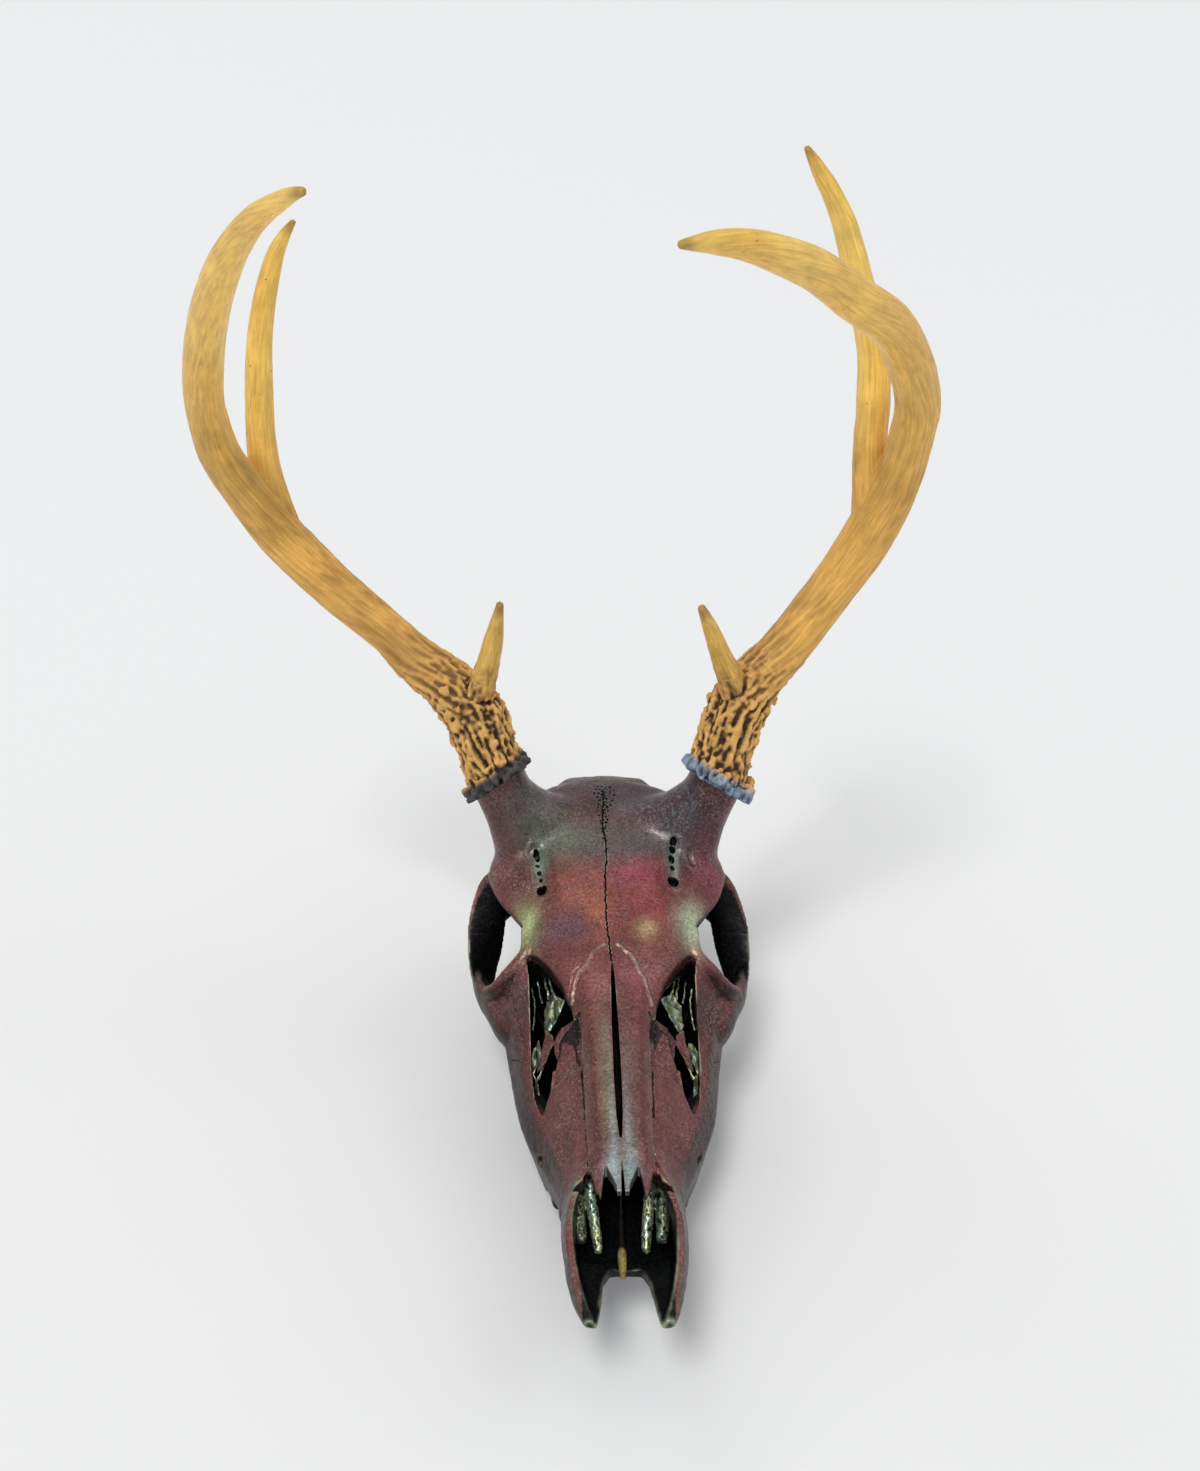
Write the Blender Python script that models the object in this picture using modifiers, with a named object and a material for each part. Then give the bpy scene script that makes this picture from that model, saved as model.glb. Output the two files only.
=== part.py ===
"""White-tailed deer skull with its antlers, life size, without the lower jaw.

Sizes are millimetres in the skull's own frame: +X is the animal's left, +Y runs from the nose to
the back of the head, +Z is up, and the cheek teeth bite on z = 0. The finished skull is tipped
nose-up by REST_TILT, so it rests on its back molars and its two jugular processes.
"""

import math
import random

import bmesh
import bpy
from mathutils import Matrix, Vector

MM = 0.001
REST_TILT = math.radians(6.0)
PIVOT = Vector((0, 170, 0))
CENTRE = Vector((19.3, -160.9, 0.0))
KERF = 0.3
SKULL_VOXEL = 1.25
SKULL_TRIANGLES = 5700
ANTLER_VOXEL = 1.2
ANTLER_TRIANGLES = 1900

# Half of each cross-section of the face from nose to orbit, as (x, z): crest, roof, roof edge,
# upper wall, cheek, lower cheek, tooth edge, palate edge, middle of the palate.
FACE = (
    (66, (0, 55.6), (7, 54.6), (12.0, 50.5), (17, 44), (22.4, 37), (23.8, 28), (21, 21), (10, 20), (0, 21)),
    (78, (0, 60), (8, 58.8), (12.5, 54), (17.6, 47), (23, 39), (24.8, 30), (21.6, 19), (12, 20), (0, 22)),
    (92, (0, 65.2), (8.5, 63.6), (12.9, 58.5), (19.6, 51), (27, 41), (29.6, 30), (25, 12), (14, 16), (0, 21)),
    (106, (0, 70.2), (9, 68.4), (13.3, 63), (23, 53), (32, 42), (35.4, 31), (29.4, 9.6), (15, 16), (0, 21)),
    (120, (0, 75), (9.5, 73.4), (14, 68), (25.4, 57), (35.6, 45), (39.8, 33), (33.3, 9), (17, 17), (0, 23)),
    (134, (0, 80.2), (10.5, 78.6), (16, 73), (28, 63), (38.3, 50), (42.2, 36), (36.3, 9), (18, 18), (0, 24)),
    (148, (0, 85.8), (12.5, 84.4), (20.5, 79.5), (32.5, 71.5), (41.5, 57), (44.6, 42), (37, 9.4), (18, 19), (0, 25)),
    (160, (0, 90.4), (15, 89.4), (27, 85.5), (37, 78), (46, 62), (46.6, 47), (36, 11), (18, 20), (0, 26)),
    (170, (0, 93.6), (17, 92.6), (30, 87), (38, 78), (48, 62), (46.6, 48), (33, 19), (17, 23), (0, 27)),
    (178, (0, 95.5), (17, 94.5), (27, 88), (28, 78), (28, 62), (28, 50), (25, 33), (16, 27), (0, 29)),
)

# The same for the brain case, from between the orbits to the back of the head.
BRAIN = (
    (150, (0, 80), (10, 78), (17, 73), (21, 62), (22, 52), (21, 44), (17, 36), (9, 31), (0, 30)),
    (172, (0, 90), (13, 88), (20, 82), (23, 70), (24, 58), (23, 48), (19, 38), (10, 32), (0, 31)),
    (190, (0, 95), (15, 93), (23, 86), (25, 74), (26, 62), (25, 50), (20, 41), (11, 37), (0, 36)),
    (208, (0, 104), (18, 102), (29, 93), (32, 80), (33, 67), (30, 53), (23, 42), (11, 36), (0, 35)),
    (226, (0, 112), (22, 110), (34, 99), (37, 86), (38, 71), (35, 54), (27, 41), (13, 33), (0, 32)),
    (244, (0, 118), (20, 117), (31, 106), (37, 91), (39, 74), (37, 56), (30, 41), (14, 31), (0, 30)),
    (260, (0, 119), (18, 118), (29, 108), (36, 93), (39, 76), (38, 58), (32, 42), (14, 31), (0, 29)),
    (274, (0, 113), (15, 112), (26, 103), (33, 90), (36, 75), (36, 59), (30, 43), (14, 33), (0, 30)),
    (284, (0, 105), (11, 104), (22, 97), (29, 85), (31, 71), (29, 58), (22, 46), (12, 38), (0, 34)),
)

# The forehead with its eaves over the orbits: crest, roof, brow, rim, and back underneath.
FOREHEAD = (
    (146, (0, 84.6), (9, 83.8), (16, 81.6), (20.5, 78.0), (19, 75), (9, 70), (0, 68)),
    (158, (0, 89.8), (13, 89.0), (22.6, 86.8), (29.6, 82.6), (28, 79), (14, 72), (0, 70)),
    (168, (0, 93.4), (17, 92.8), (27, 90.0), (33.6, 84.6), (32, 81), (20, 74), (0, 72)),
    (180, (0, 97.6), (19, 97.4), (30, 94.0), (36.8, 86.6), (35.4, 83), (23, 77), (0, 75)),
    (196, (0, 103.0), (20, 103.0), (36, 98.4), (46.5, 89.8), (45, 86), (26, 80), (0, 78)),
    (208, (0, 107.2), (22, 107.6), (40, 102.4), (51, 91.6), (50, 87), (29, 82), (0, 80)),
    (218, (0, 110.8), (24, 111.6), (41, 106.4), (53, 93.0), (51, 87.5), (31, 84), (0, 82)),
    (230, (0, 115.0), (24, 117.4), (41, 112), (47.5, 100), (43, 92), (29, 87), (0, 85)),
    (246, (0, 119.4), (18, 120.6), (29, 119.6), (38, 108), (36, 98), (23, 90), (0, 88)),
    (258, (0, 119.8), (12, 119.0), (20, 115.0), (26, 104), (24, 97), (16, 92), (0, 90)),
)

# The open nasal passage, wider than the skin of bone it leaves: top, roof, side, floor.
PASSAGE = (
    (60, (0, 70), (12, 66), (19.5, 52), (19.5, 38), (18.5, 30), (14.5, 24.4), (0, 24.4)),
    (68, (0, 53), (7, 51.8), (10.5, 47), (17, 38), (18.5, 30), (15, 24.4), (0, 24.4)),
    (80, (0, 57), (8, 55), (11.5, 50), (17.5, 40), (19, 31), (15, 24.4), (0, 24.6)),
    (100, (0, 64), (9, 62), (12.5, 56), (22, 44), (24, 34), (18, 25.4), (0, 25)),
    (122, (0, 72), (10, 70), (14, 65), (26, 52), (30, 40), (21, 27), (0, 27)),
    (142, (0, 79.4), (12, 77.6), (19, 73), (31, 62), (34, 46), (22, 30), (0, 29)),
    (158, (0, 84), (13, 82), (24, 79), (33.5, 70), (33, 54), (20, 36), (0, 31)),
    (168, (0, 86), (12, 84), (24, 80), (31, 70), (28, 56), (14, 42), (0, 36)),
    (174, (0, 80), (6, 78), (12, 74), (16, 68), (14, 60), (8, 50), (0, 46)),
)

# The two thin incisive bones as a trough, outside down and inside up again.
TROUGH = (
    (10, (12.4, 33.4), (14.8, 33.2), (15.7, 32.0), (15.1, 30.4), (12.6, 29.8), (0, 29.8),
     (0, 31.8), (11.8, 32.0)),
    (16, (13.9, 34.2), (16.7, 33.8), (17.7, 31.2), (16.7, 27.8), (13.2, 26.6), (0, 26.6),
     (0, 29.2), (12.8, 29.4)),
    (24, (15.9, 35.4), (18.4, 35.0), (19.6, 30.2), (18.4, 24.8), (14.6, 23.0), (0, 23.0),
     (0, 25.8), (14.0, 26.4)),
    (36, (17.9, 38.6), (20.4, 38.2), (21.8, 31.0), (20.4, 22.8), (16.6, 20.4), (0, 20.4),
     (0, 23.6), (16.0, 24.8)),
    (50, (18.4, 44.2), (21.0, 43.8), (23.2, 34.0), (21.6, 22.6), (17.8, 20.0), (0, 20.0),
     (0, 23.6), (17.4, 25.0)),
    (62, (15.0, 48.8), (17.8, 48.2), (22.8, 36.0), (22.0, 22.6), (18.2, 20.0), (0, 20.2),
     (0, 24.0), (17.4, 25.4)),
    (72, (10.4, 52.4), (13.6, 51.6), (21.8, 38.0), (22.4, 22.4), (18.2, 19.8), (0, 20.6),
     (0, 24.2), (17.4, 26.0)),
)

# Nasal tips that overhang the opening: top and underside of the left bone.
NASAL_TIP = (
    (54.6, (0.0, 51.6), (3.4, 51.6), (6.0, 50.9), (8.6, 49.0), (8.2, 46.6), (5.8, 48.4), (3.2, 49.2), (0.0, 49.2)),
    (64, (0.0, 54.8), (4.2, 54.6), (8.2, 53.0), (11.0, 49.8), (10.0, 46.6), (7.4, 50.0), (4.0, 51.6), (0.0, 51.8)),
    (72, (0.0, 57.8), (4.8, 57.4), (9.0, 55.6), (12.4, 51.6), (11.0, 47.4), (8.2, 52.2), (4.4, 54.2), (0.0, 54.6)),
)

# Struts swept through (x, y, z, half width across, half height).
ARCH = ((37, 151, 50, 6, 9), (44, 160, 51, 6, 9), (49.5, 169, 52.5, 4.2, 7.8), (54.5, 181, 52, 3.4, 7.2),
        (57.6, 195, 51.5, 3.0, 7.0), (58.2, 209, 52.5, 3.0, 6.2), (56.4, 223, 55, 3.0, 4.8),
        (51, 237, 58, 3.4, 4.2), (42.5, 248, 61, 5.0, 4.6), (34, 256, 62, 6.0, 6.0))
# The bony ring behind the eye, as its outer lip, its inner lip and how thick it is.
ORBIT_RING = ((42, 214, 99, 36, 217, 88, 5.0), (53.6, 217.8, 91.4, 42.5, 217.5, 85, 3.6),
              (59.0, 214.5, 82, 44.0, 215, 77, 3.4), (61.8, 208, 72, 45.5, 211.5, 68.5, 3.2),
              (62.2, 199.5, 62.5, 47.5, 208, 58, 3.2), (60.2, 188, 57.2, 50.5, 197, 50, 3.4),
              (56.0, 177.5, 57.4, 49.5, 184, 49, 3.8), (51.2, 169, 60.4, 46, 172, 50, 4.0))
ORBIT_FRONT = ((51.5, 172, 59.6, 3.2, 4.0), (47.4, 166, 65.4, 3.4, 4.0), (41.4, 164.6, 74, 3.4, 3.8),
               (35.2, 168.5, 81.6, 3.4, 3.2), (34.6, 180, 86, 3.4, 2.8))
PEDICLE = ((27, 223, 88, 15), (33, 224.5, 98, 15), (37.0, 225.5, 107, 14), (40.0, 226.2, 116, 13),
           (44.5, 227.2, 126, 12.6), (50.5, 228.5, 140, 12.6))
WEB = ((12, 236, 106, 13), (21, 233.5, 107.4, 14.2), (29, 231, 110.4, 14.6), (36, 229, 116, 14), (42, 228, 123, 12.8))
JUGULAR = ((27, 273, 52, 8), (28.5, 272, 38, 6.2), (29.6, 270.5, 25, 4.4), (30, 269, 15, 3.4), (30.2, 268, 6, 2.6))
PTERYGOID = ((9.5, 172, 31, 2.2, 7), (10, 184, 29, 2.0, 8), (10.2, 196, 29, 1.9, 7.5), (11, 206, 33, 2.0, 5))
PALATE_BACK = ((25, 160, 22, 7, 7), (23, 170, 27, 5, 8), (19, 180, 33, 4, 8), (15, 190, 37, 3, 7))
NUCHAL = ((0, 283.5, 105, 3.0), (12, 282.5, 103.6, 3.0), (22.5, 279.5, 97.5, 3.0), (30, 275, 87, 3.0),
          (34.5, 269.5, 73, 3.2), (36, 265, 60, 3.8), (33, 262, 47, 4.2))
CONCHA_INNER = ((8.2, 50, 29.5, 1.6, 2.0), (8.8, 56, 32.5, 1.9, 3.2), (9.6, 64, 37.5, 2.2, 4.2),
                (10.6, 76, 43, 2.6, 5.0), (11.8, 92, 47, 3.0, 5.4), (13, 110, 50, 3.0, 5.0))
CONCHA_OUTER = ((14.4, 54, 30, 1.8, 2.4), (14.6, 60, 34, 2.4, 4.0), (14.8, 70, 36.5, 2.6, 5.0),
                (15.6, 84, 37.5, 2.8, 5.6), (17, 100, 39, 3.0, 6.0), (19, 116, 41, 3.0, 6.0))
VOMER = ((0, 45, 25.4, 1.3, 1.6), (0, 54, 27, 1.2, 3.4), (0, 70, 31.5, 1.2, 8.2), (0, 90, 36, 1.2, 12.4),
         (0, 115, 41, 1.2, 15.0), (0, 140, 45, 1.3, 16.0), (0, 152, 49, 1.4, 14.0))
# Rounded masses as centre and half sizes.
CONCHA_BRIDGE = ((14.0, 104, 45), (3.6, 12, 4.0))
CONDYLE = ((13.5, 283.5, 43), (8.4, 8.0, 10.5))
BULLA = ((23, 250, 33), (6.8, 10.5, 9.0))
MASTOID = ((33, 266, 56), (6, 8, 15))
EAR_TUBE = ((33, 255, 46), (8, 5.4, 5.2))
OCCIPUT = ((0, 279, 68), (24, 8, 26))
# Hollows as centre and half sizes.
ORBIT = ((45, 192, 69), (18.5, 25.5, 17.5))
CANAL = ((0, 292, 54), (8.6, 13, 8.4))
CHOANA = ((0, 182, 30), (7.4, 26, 6.6))
EAR_HOLE = ((42, 255, 46), (6, 2.6, 2.6))
LACRIMAL_PIT = ((47, 156, 66), (4.2, 8.0, 5.6))
CHEEK_HOLE = ((28.5, 97, 31), (6.5, 2.6, 2.4))
BROW_HOLE = ((27.7, 198, 99.5), (2.2, 3.4, 5.0))
BROW_GROOVE = ((24.5, 181, 99.4), (1.8, 18, 2.4))
SLIT = ((0.3, 153), (0.8, 142), (1.2, 122), (1.4, 100), (1.1, 84), (0.3, 75), (-0.3, 75), (-1.1, 84),
        (-1.4, 100), (-1.2, 122), (-0.8, 142), (-0.3, 153))
# The opening beside the nasal bones, the gap between the incisive bones and the nasal notch.
VACUITY = ((35.6, 167.6), (31, 162.2), (25.8, 155.4), (20.9, 147.8), (17.4, 139), (16.6, 133), (22, 131.6),
           (23, 126), (25, 121), (26.4, 113), (29.6, 106.5), (32.4, 116), (33.7, 128), (33.9, 144), (34.2, 158))
TIP_GAP = ((-11.6, -4), (11.6, -4), (10.9, 12), (9.6, 28), (8.2, 40), (5.4, 45), (-5.4, 45), (-8.2, 40),
           (-9.6, 28), (-10.9, 12))
NASAL_NOTCH = ((1.9, 51), (8.0, 51), (8.1, 55.4), (6.3, 64.5), (5.7, 64.5), (2.3, 56.6))

# Nodes of the skull as prisms: the axis they run along, their outline and their reach.
NASAL_PLAN = ((0, 50), (14, 50), (12.9, 62), (12.9, 72), (13.4, 92), (14.6, 112), (16.4, 134), (15.6, 143),
              (12.5, 150), (7, 156), (2.4, 160.5), (0, 161))
FRONTAL_SIDE = ((139, 72), (150, 77), (162, 81.5), (171, 79), (184, 75), (200, 71), (212, 66), (224, 70),
                (232, 84), (240, 98), (248, 108), (252, 116), (253, 160), (139, 160))
CHEEK_SIDE = ((156, 95), (152, 74), (147, 66), (152, 60), (147, 54), (153, 47), (149, 41), (162, 34), (178, 30),
              (212, 36), (225, 44), (219, 50), (225, 56), (219, 62), (219, 95))
MAXILLA_SIDE = ((52, -30), (181, -30), (181, 43), (168, 46), (158, 52), (158, 92), (60, 92), (76, 51),
                (66, 40), (58, 31), (50, 24))
PREMAXILLA_SIDE = ((-10, -30), (52, -30), (50, 24), (58, 31), (66, 40), (76, 51), (60, 92), (-10, 92))

# Cheek teeth as (length, width, lobes), front to back, and the line of their centres.
TEETH = ((10.6, 9.2, 1), (11.4, 10.4, 1), (11.4, 11.8, 1), (14.0, 13.8, 2), (15.2, 14.8, 2), (14.4, 14.0, 2))
ROW_START = 92.4
ROW = ((92, 18.8, 3.0), (104, 21.4, 2.0), (116, 24.4, 0.9), (128, 26.8, 0.0), (150, 28.0, 0.0), (170, 27.0, 0.0))
ROOT_TOP = 15.0

# Antler centre lines in the tipped frame as (x, y, z, radius); the two sides differ.
ANTLERS = {
    "right": {
        "burr_axis": (-0.56, 0.34, 0.75),
        "beam": ((-45.0, 233.8, 123, 12.4), (-46.8, 235, 129, 12.9), (-51.4, 239.4, 140, 12.3), (-58, 246, 156, 12.5),
                 (-68, 252, 166, 11.2), (-84, 260, 176, 9.9), (-95, 266, 185, 9.0), (-112, 273, 197, 9.5),
                 (-127, 279, 209, 9.9), (-141, 283, 223, 10.2), (-152, 281, 240, 9.2), (-161, 274, 261, 8.6),
                 (-163, 263, 284, 7.9), (-159, 247, 307, 7.8), (-151, 228, 332, 7.3), (-139, 204, 356, 6.2),
                 (-125, 180, 375, 4.6), (-110, 155, 388, 2.9), (-102, 142, 393, 1.4)),
        "back_tine": ((-137, 281, 217, 8.6), (-145, 290, 240, 7.2), (-148, 295, 260, 6.3), (-147, 299, 292, 5.6),
                      (-144, 300, 313, 4.9), (-138, 299, 334, 3.9), (-133, 297, 344, 2.6), (-128, 295, 351, 1.0)),
        "brow_tine": ((-57, 248, 158, 7.6), (-55, 243.5, 170, 6.2), (-52, 240, 182, 5.0), (-49, 234, 198, 4.1),
                      (-46, 226, 218, 1.6)),
        "cuts": (("brow_tine", 1.5), ("beam", 4.3), ("back_tine", 1.5), ("beam", 10.5)),
    },
    "left": {
        "burr_axis": (0.49, 0.33, 0.81),
        "beam": ((44.6, 233.8, 123, 12.4), (46.4, 235, 129, 13.0), (48.8, 239.4, 141, 12.1), (54, 246, 157, 12.1),
                 (62, 252, 169, 11.2), (75, 260, 181, 10.2), (86, 266, 194, 10.1), (96, 272, 206, 10.1),
                 (107, 278, 221, 10.8), (115, 281, 236, 10.7), (121, 280, 254, 9.7), (123, 275, 274, 9.3),
                 (122, 268, 290, 9.3), (114, 256, 310, 9.0), (101, 240, 329, 8.7), (82, 220, 344, 8.3),
                 (66, 203, 357, 7.6), (51, 186, 366, 6.7), (37, 170, 373, 5.4), (24, 156, 377, 3.9),
                 (12, 143, 379, 1.4)),
        "back_tine": ((112, 280, 230, 8.8), (110, 292, 260, 7.2), (110, 297, 281, 7.2), (108, 300, 302, 6.7),
                      (101, 302, 326, 6.0), (95, 302, 343, 5.5), (91, 301, 353, 5.0), (85, 299, 364, 4.2),
                      (79, 297, 373, 3.3), (72, 293, 383, 1.2)),
        "brow_tine": ((55, 248, 158, 7.6), (51.5, 244, 174, 6.0), (46, 240, 188, 4.6), (40, 234, 204, 3.3),
                      (35, 229, 216, 1.6)),
        "cuts": (("brow_tine", 1.4), ("beam", 4.4), ("back_tine", 1.15), ("beam", 10.4)),
    },
}
# The box of the forehead that is smoothed, and how the skull leans below a height.
SOFT_BROW = ((-1, 204, 94), (60, 256, 140))
LEAN = 0.045
LEAN_FROM = 92
BURR_RADIUS = {"right": 13.9, "left": 15.2}
BURR_PEARLS = 21
BASE_PEARLS = 46

COLOURS = {
    "braincase": ((0.34, 0.17, 0.16), 0.45), "frontal": ((0.30, 0.22, 0.24), 0.40),
    "nasal": ((0.42, 0.30, 0.27), 0.35), "maxilla": ((0.40, 0.13, 0.13), 0.45),
    "premaxilla": ((0.22, 0.24, 0.22), 0.35), "cheekbone": ((0.38, 0.15, 0.17), 0.42),
    "turbinate": ((0.30, 0.30, 0.16), 0.40), "vomer": ((0.48, 0.34, 0.14), 0.50),
    "antler_base": ((0.26, 0.18, 0.11), 0.55), "brow_tine": ((0.58, 0.42, 0.24), 0.45),
    "antler_beam": ((0.50, 0.34, 0.17), 0.45), "back_tine": ((0.62, 0.45, 0.25), 0.42),
    "antler_tip": ((0.66, 0.50, 0.30), 0.40),
}

TIP = Matrix.Translation(PIVOT) @ Matrix.Rotation(-REST_TILT, 4, "X") @ Matrix.Translation(-PIVOT)


def clear_scene():
    for thing in list(bpy.data.objects):
        bpy.data.objects.remove(thing, do_unlink=True)


def add_object(name, mesh):
    thing = bpy.data.objects.new(name, mesh)
    bpy.context.scene.collection.objects.link(thing)
    return thing


def from_bmesh(name, bm):
    bm.normal_update()
    bmesh.ops.recalc_face_normals(bm, faces=bm.faces)
    mesh = bpy.data.meshes.new(name)
    bm.to_mesh(mesh)
    bm.free()
    return add_object(name, mesh)


def settle(thing):
    graph = bpy.context.evaluated_depsgraph_get()
    graph.update()
    mesh = bpy.data.meshes.new_from_object(thing.evaluated_get(graph))
    thing.modifiers.clear()
    old = thing.data
    if isinstance(old, bpy.types.Mesh):
        thing.data = mesh
        bpy.data.meshes.remove(old)
        return thing
    name = thing.name
    bpy.data.objects.remove(thing, do_unlink=True)
    return add_object(name, mesh)


def between(rows, steps):
    """Catmull-Rom rows between the given ones, all values alike."""
    out = []
    for i in range(len(rows) - 1):
        a, b, c, d = rows[max(i - 1, 0)], rows[i], rows[i + 1], rows[min(i + 2, len(rows) - 1)]
        for k in range(steps):
            t = k / steps
            out.append([0.5 * (2 * q + (r - p) * t + (2 * p - 5 * q + 4 * r - s) * t * t
                               + (3 * q - p - 3 * r + s) * t * t * t) for p, q, r, s in zip(a, b, c, d)])
    out.append(list(rows[-1]))
    return out


def skin(name, rings):
    bm = bmesh.new()
    loops = [[bm.verts.new(p) for p in ring] for ring in rings]
    for a, b in zip(loops, loops[1:]):
        for k in range(len(a)):
            j = (k + 1) % len(a)
            bm.faces.new((a[k], a[j], b[j], b[k]))
    bm.faces.new(loops[0])
    bm.faces.new(loops[-1][::-1])
    bmesh.ops.remove_doubles(bm, verts=bm.verts, dist=0.0005)
    return from_bmesh(name, bm)


def loft(name, stations, steps=4, whole=True):
    rows = between([[s[0]] + [v for point in s[1:] for v in point] for s in stations], steps)
    rings = []
    for row in rows:
        half = [(row[i], row[0], row[i + 1]) for i in range(1, len(row), 2)]
        if whole:
            half += [(-x, y, z) for x, y, z in reversed(half[1:-1])]
        rings.append(half)
    return skin(name, rings)


def trough(name, stations, steps=4):
    rows = between([[s[0]] + [v for point in s[1:] for v in point] for s in stations], steps)
    rings = [[(row[i], row[0], row[i + 1]) for i in range(1, len(row), 2)] for row in rows]
    return skin(name, rings)


def tube(name, points, steps=4, sides=14):
    """A round strut along (x, y, z, radius), closed at both ends."""
    curve = bpy.data.curves.new(name, "CURVE")
    curve.dimensions = "3D"
    curve.bevel_depth = 1.0
    curve.bevel_resolution = sides // 4
    curve.use_fill_caps = True
    curve.twist_mode = "MINIMUM"
    rows = between(points, steps)
    spline = curve.splines.new("POLY")
    spline.points.add(len(rows) - 1)
    for point, row in zip(spline.points, rows):
        point.co = (*row[:3], 1)
        point.radius = row[3]
    return settle(add_object(name, curve))


def strut(name, points, steps=4, sides=12, up=Vector((0, 0, 1))):
    """A flat strut along (x, y, z, half width, half height)."""
    rows = between(points, steps)
    rings = []
    for i, row in enumerate(rows):
        ahead = Vector(rows[min(i + 1, len(rows) - 1)][:3]) - Vector(rows[max(i - 1, 0)][:3])
        side = ahead.cross(up).normalized()
        top = side.cross(ahead).normalized()
        turn = [2 * math.pi * k / sides for k in range(sides)]
        rings.append([Vector(row[:3]) + side * row[3] * math.cos(a) + top * row[4] * math.sin(a) for a in turn])
    return skin(name, rings)


def ribbon(name, lips, steps=4, sides=12):
    """A thick band between an outer and an inner lip, rounded at both."""
    rows = between(lips, steps)
    rings = []
    for i, row in enumerate(rows):
        outer, inner = Vector(row[:3]), Vector(row[3:6])
        ahead = Vector(rows[min(i + 1, len(rows) - 1)][:3]) - Vector(rows[max(i - 1, 0)][:3])
        side = (outer - inner) / 2
        top = side.cross(ahead).normalized() * row[6] / 2
        turn = [2 * math.pi * k / sides for k in range(sides)]
        rings.append([(outer + inner) / 2 + side * math.cos(a) + top * math.sin(a) for a in turn])
    return skin(name, rings)


def ball(name, centre, half, detail=3):
    bm = bmesh.new()
    bmesh.ops.create_icosphere(bm, subdivisions=detail, radius=1.0)
    bm.transform(Matrix.Translation(centre) @ Matrix.Diagonal((*half, 1)))
    return from_bmesh(name, bm)


def prism(name, outline, axis, low, high, grow=0.0):
    """An outline pushed along one axis, its sides moved outward by grow."""
    points = [Vector(p) for p in outline]
    area = sum(a.x * b.y - b.x * a.y for a, b in zip(points, points[1:] + points[:1]))
    if area < 0:
        points.reverse()
    moved = []
    for i, p in enumerate(points):
        before = (p - points[i - 1]).normalized()
        after = (points[(i + 1) % len(points)] - p).normalized()
        n1, n2 = Vector((before.y, -before.x)), Vector((after.y, -after.x))
        moved.append(p + (n1 + n2) * grow / max(1 + n1.dot(n2), 0.4))
    place = {"z": lambda p, h: (p.x, p.y, h), "x": lambda p, h: (h, p.x, p.y)}[axis]
    low, high = low - grow, high + grow
    return skin(name, [[place(p, low) for p in moved], [place(p, high) for p in moved]])


def mirrored(thing):
    twin = add_object(thing.name + "_m", thing.data.copy())
    twin.data.transform(Matrix.Diagonal((-1, 1, 1, 1)))
    twin.data.flip_normals()
    return twin


def joined(name, things):
    bm = bmesh.new()
    for thing in things:
        bm.from_mesh(thing.data)
        bpy.data.objects.remove(thing, do_unlink=True)
    mesh = bpy.data.meshes.new(name)
    bm.to_mesh(mesh)
    bm.free()
    return add_object(name, mesh)


def both(things):
    return list(things) + [mirrored(t) for t in things]


def remesh(thing, voxel, rounds=0, factor=0.5):
    mod = thing.modifiers.new("voxels", "REMESH")
    mod.mode = "VOXEL"
    mod.voxel_size = voxel
    if rounds:
        soft = thing.modifiers.new("soft", "SMOOTH")
        soft.iterations = rounds
        soft.factor = factor
    return settle(thing)


def thin_out(thing, triangles):
    mod = thing.modifiers.new("fewer", "DECIMATE")
    count = sum(len(p.vertices) - 2 for p in thing.data.polygons)
    mod.ratio = min(1.0, triangles / count)
    return settle(thing)


def boolean(thing, other, kind, solver="EXACT"):
    mod = thing.modifiers.new("cut", "BOOLEAN")
    mod.object = other
    mod.operation = kind
    mod.solver = solver
    return settle(thing)


def drop(thing):
    bpy.data.objects.remove(thing, do_unlink=True)


def largest_shell(thing):
    """Keep only the biggest closed surface, made of clean triangles."""
    bm = bmesh.new()
    bm.from_mesh(thing.data)
    bmesh.ops.remove_doubles(bm, verts=bm.verts, dist=0.004)
    bmesh.ops.dissolve_degenerate(bm, edges=bm.edges, dist=0.004)
    bmesh.ops.triangulate(bm, faces=bm.faces)
    left, shells = set(bm.faces), []
    while left:
        stack, shell = [left.pop()], []
        while stack:
            face = stack.pop()
            shell.append(face)
            for edge in face.edges:
                for near in edge.link_faces:
                    if near in left:
                        left.remove(near)
                        stack.append(near)
        shells.append(shell)
    shells.sort(key=lambda s: -sum(f.calc_area() for f in s))
    for shell in shells[1:]:
        bmesh.ops.delete(bm, geom=shell, context="FACES")
    loose = [v for v in bm.verts if not v.link_faces]
    bmesh.ops.delete(bm, geom=loose, context="VERTS")
    bm.to_mesh(thing.data)
    bm.free()
    return thing


def carve(body, region, name):
    """Take one node out of the body and leave a gap of KERF round it."""
    outline, axis, low, high = region
    keep = prism("keep", outline, axis, low, high)
    gone = prism("gone", outline, axis, low, high, KERF)
    for tool in (keep, gone):
        tool.data.transform(TIP)
    node = add_object(name, body.data.copy())
    node = boolean(node, keep, "INTERSECT", "MANIFOLD")
    body = boolean(body, gone, "DIFFERENCE", "MANIFOLD")
    drop(keep)
    drop(gone)
    return body, largest_shell(node)


def row_at(y):
    for (a, xa, za), (b, xb, zb) in zip(ROW, ROW[1:]):
        if y <= b:
            t = (y - a) / (b - a)
            return xa + (xb - xa) * t, za + (zb - za) * t
    return ROW[-1][1:]


def rounded(value, power):
    return math.copysign(abs(value) ** power, value)


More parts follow.
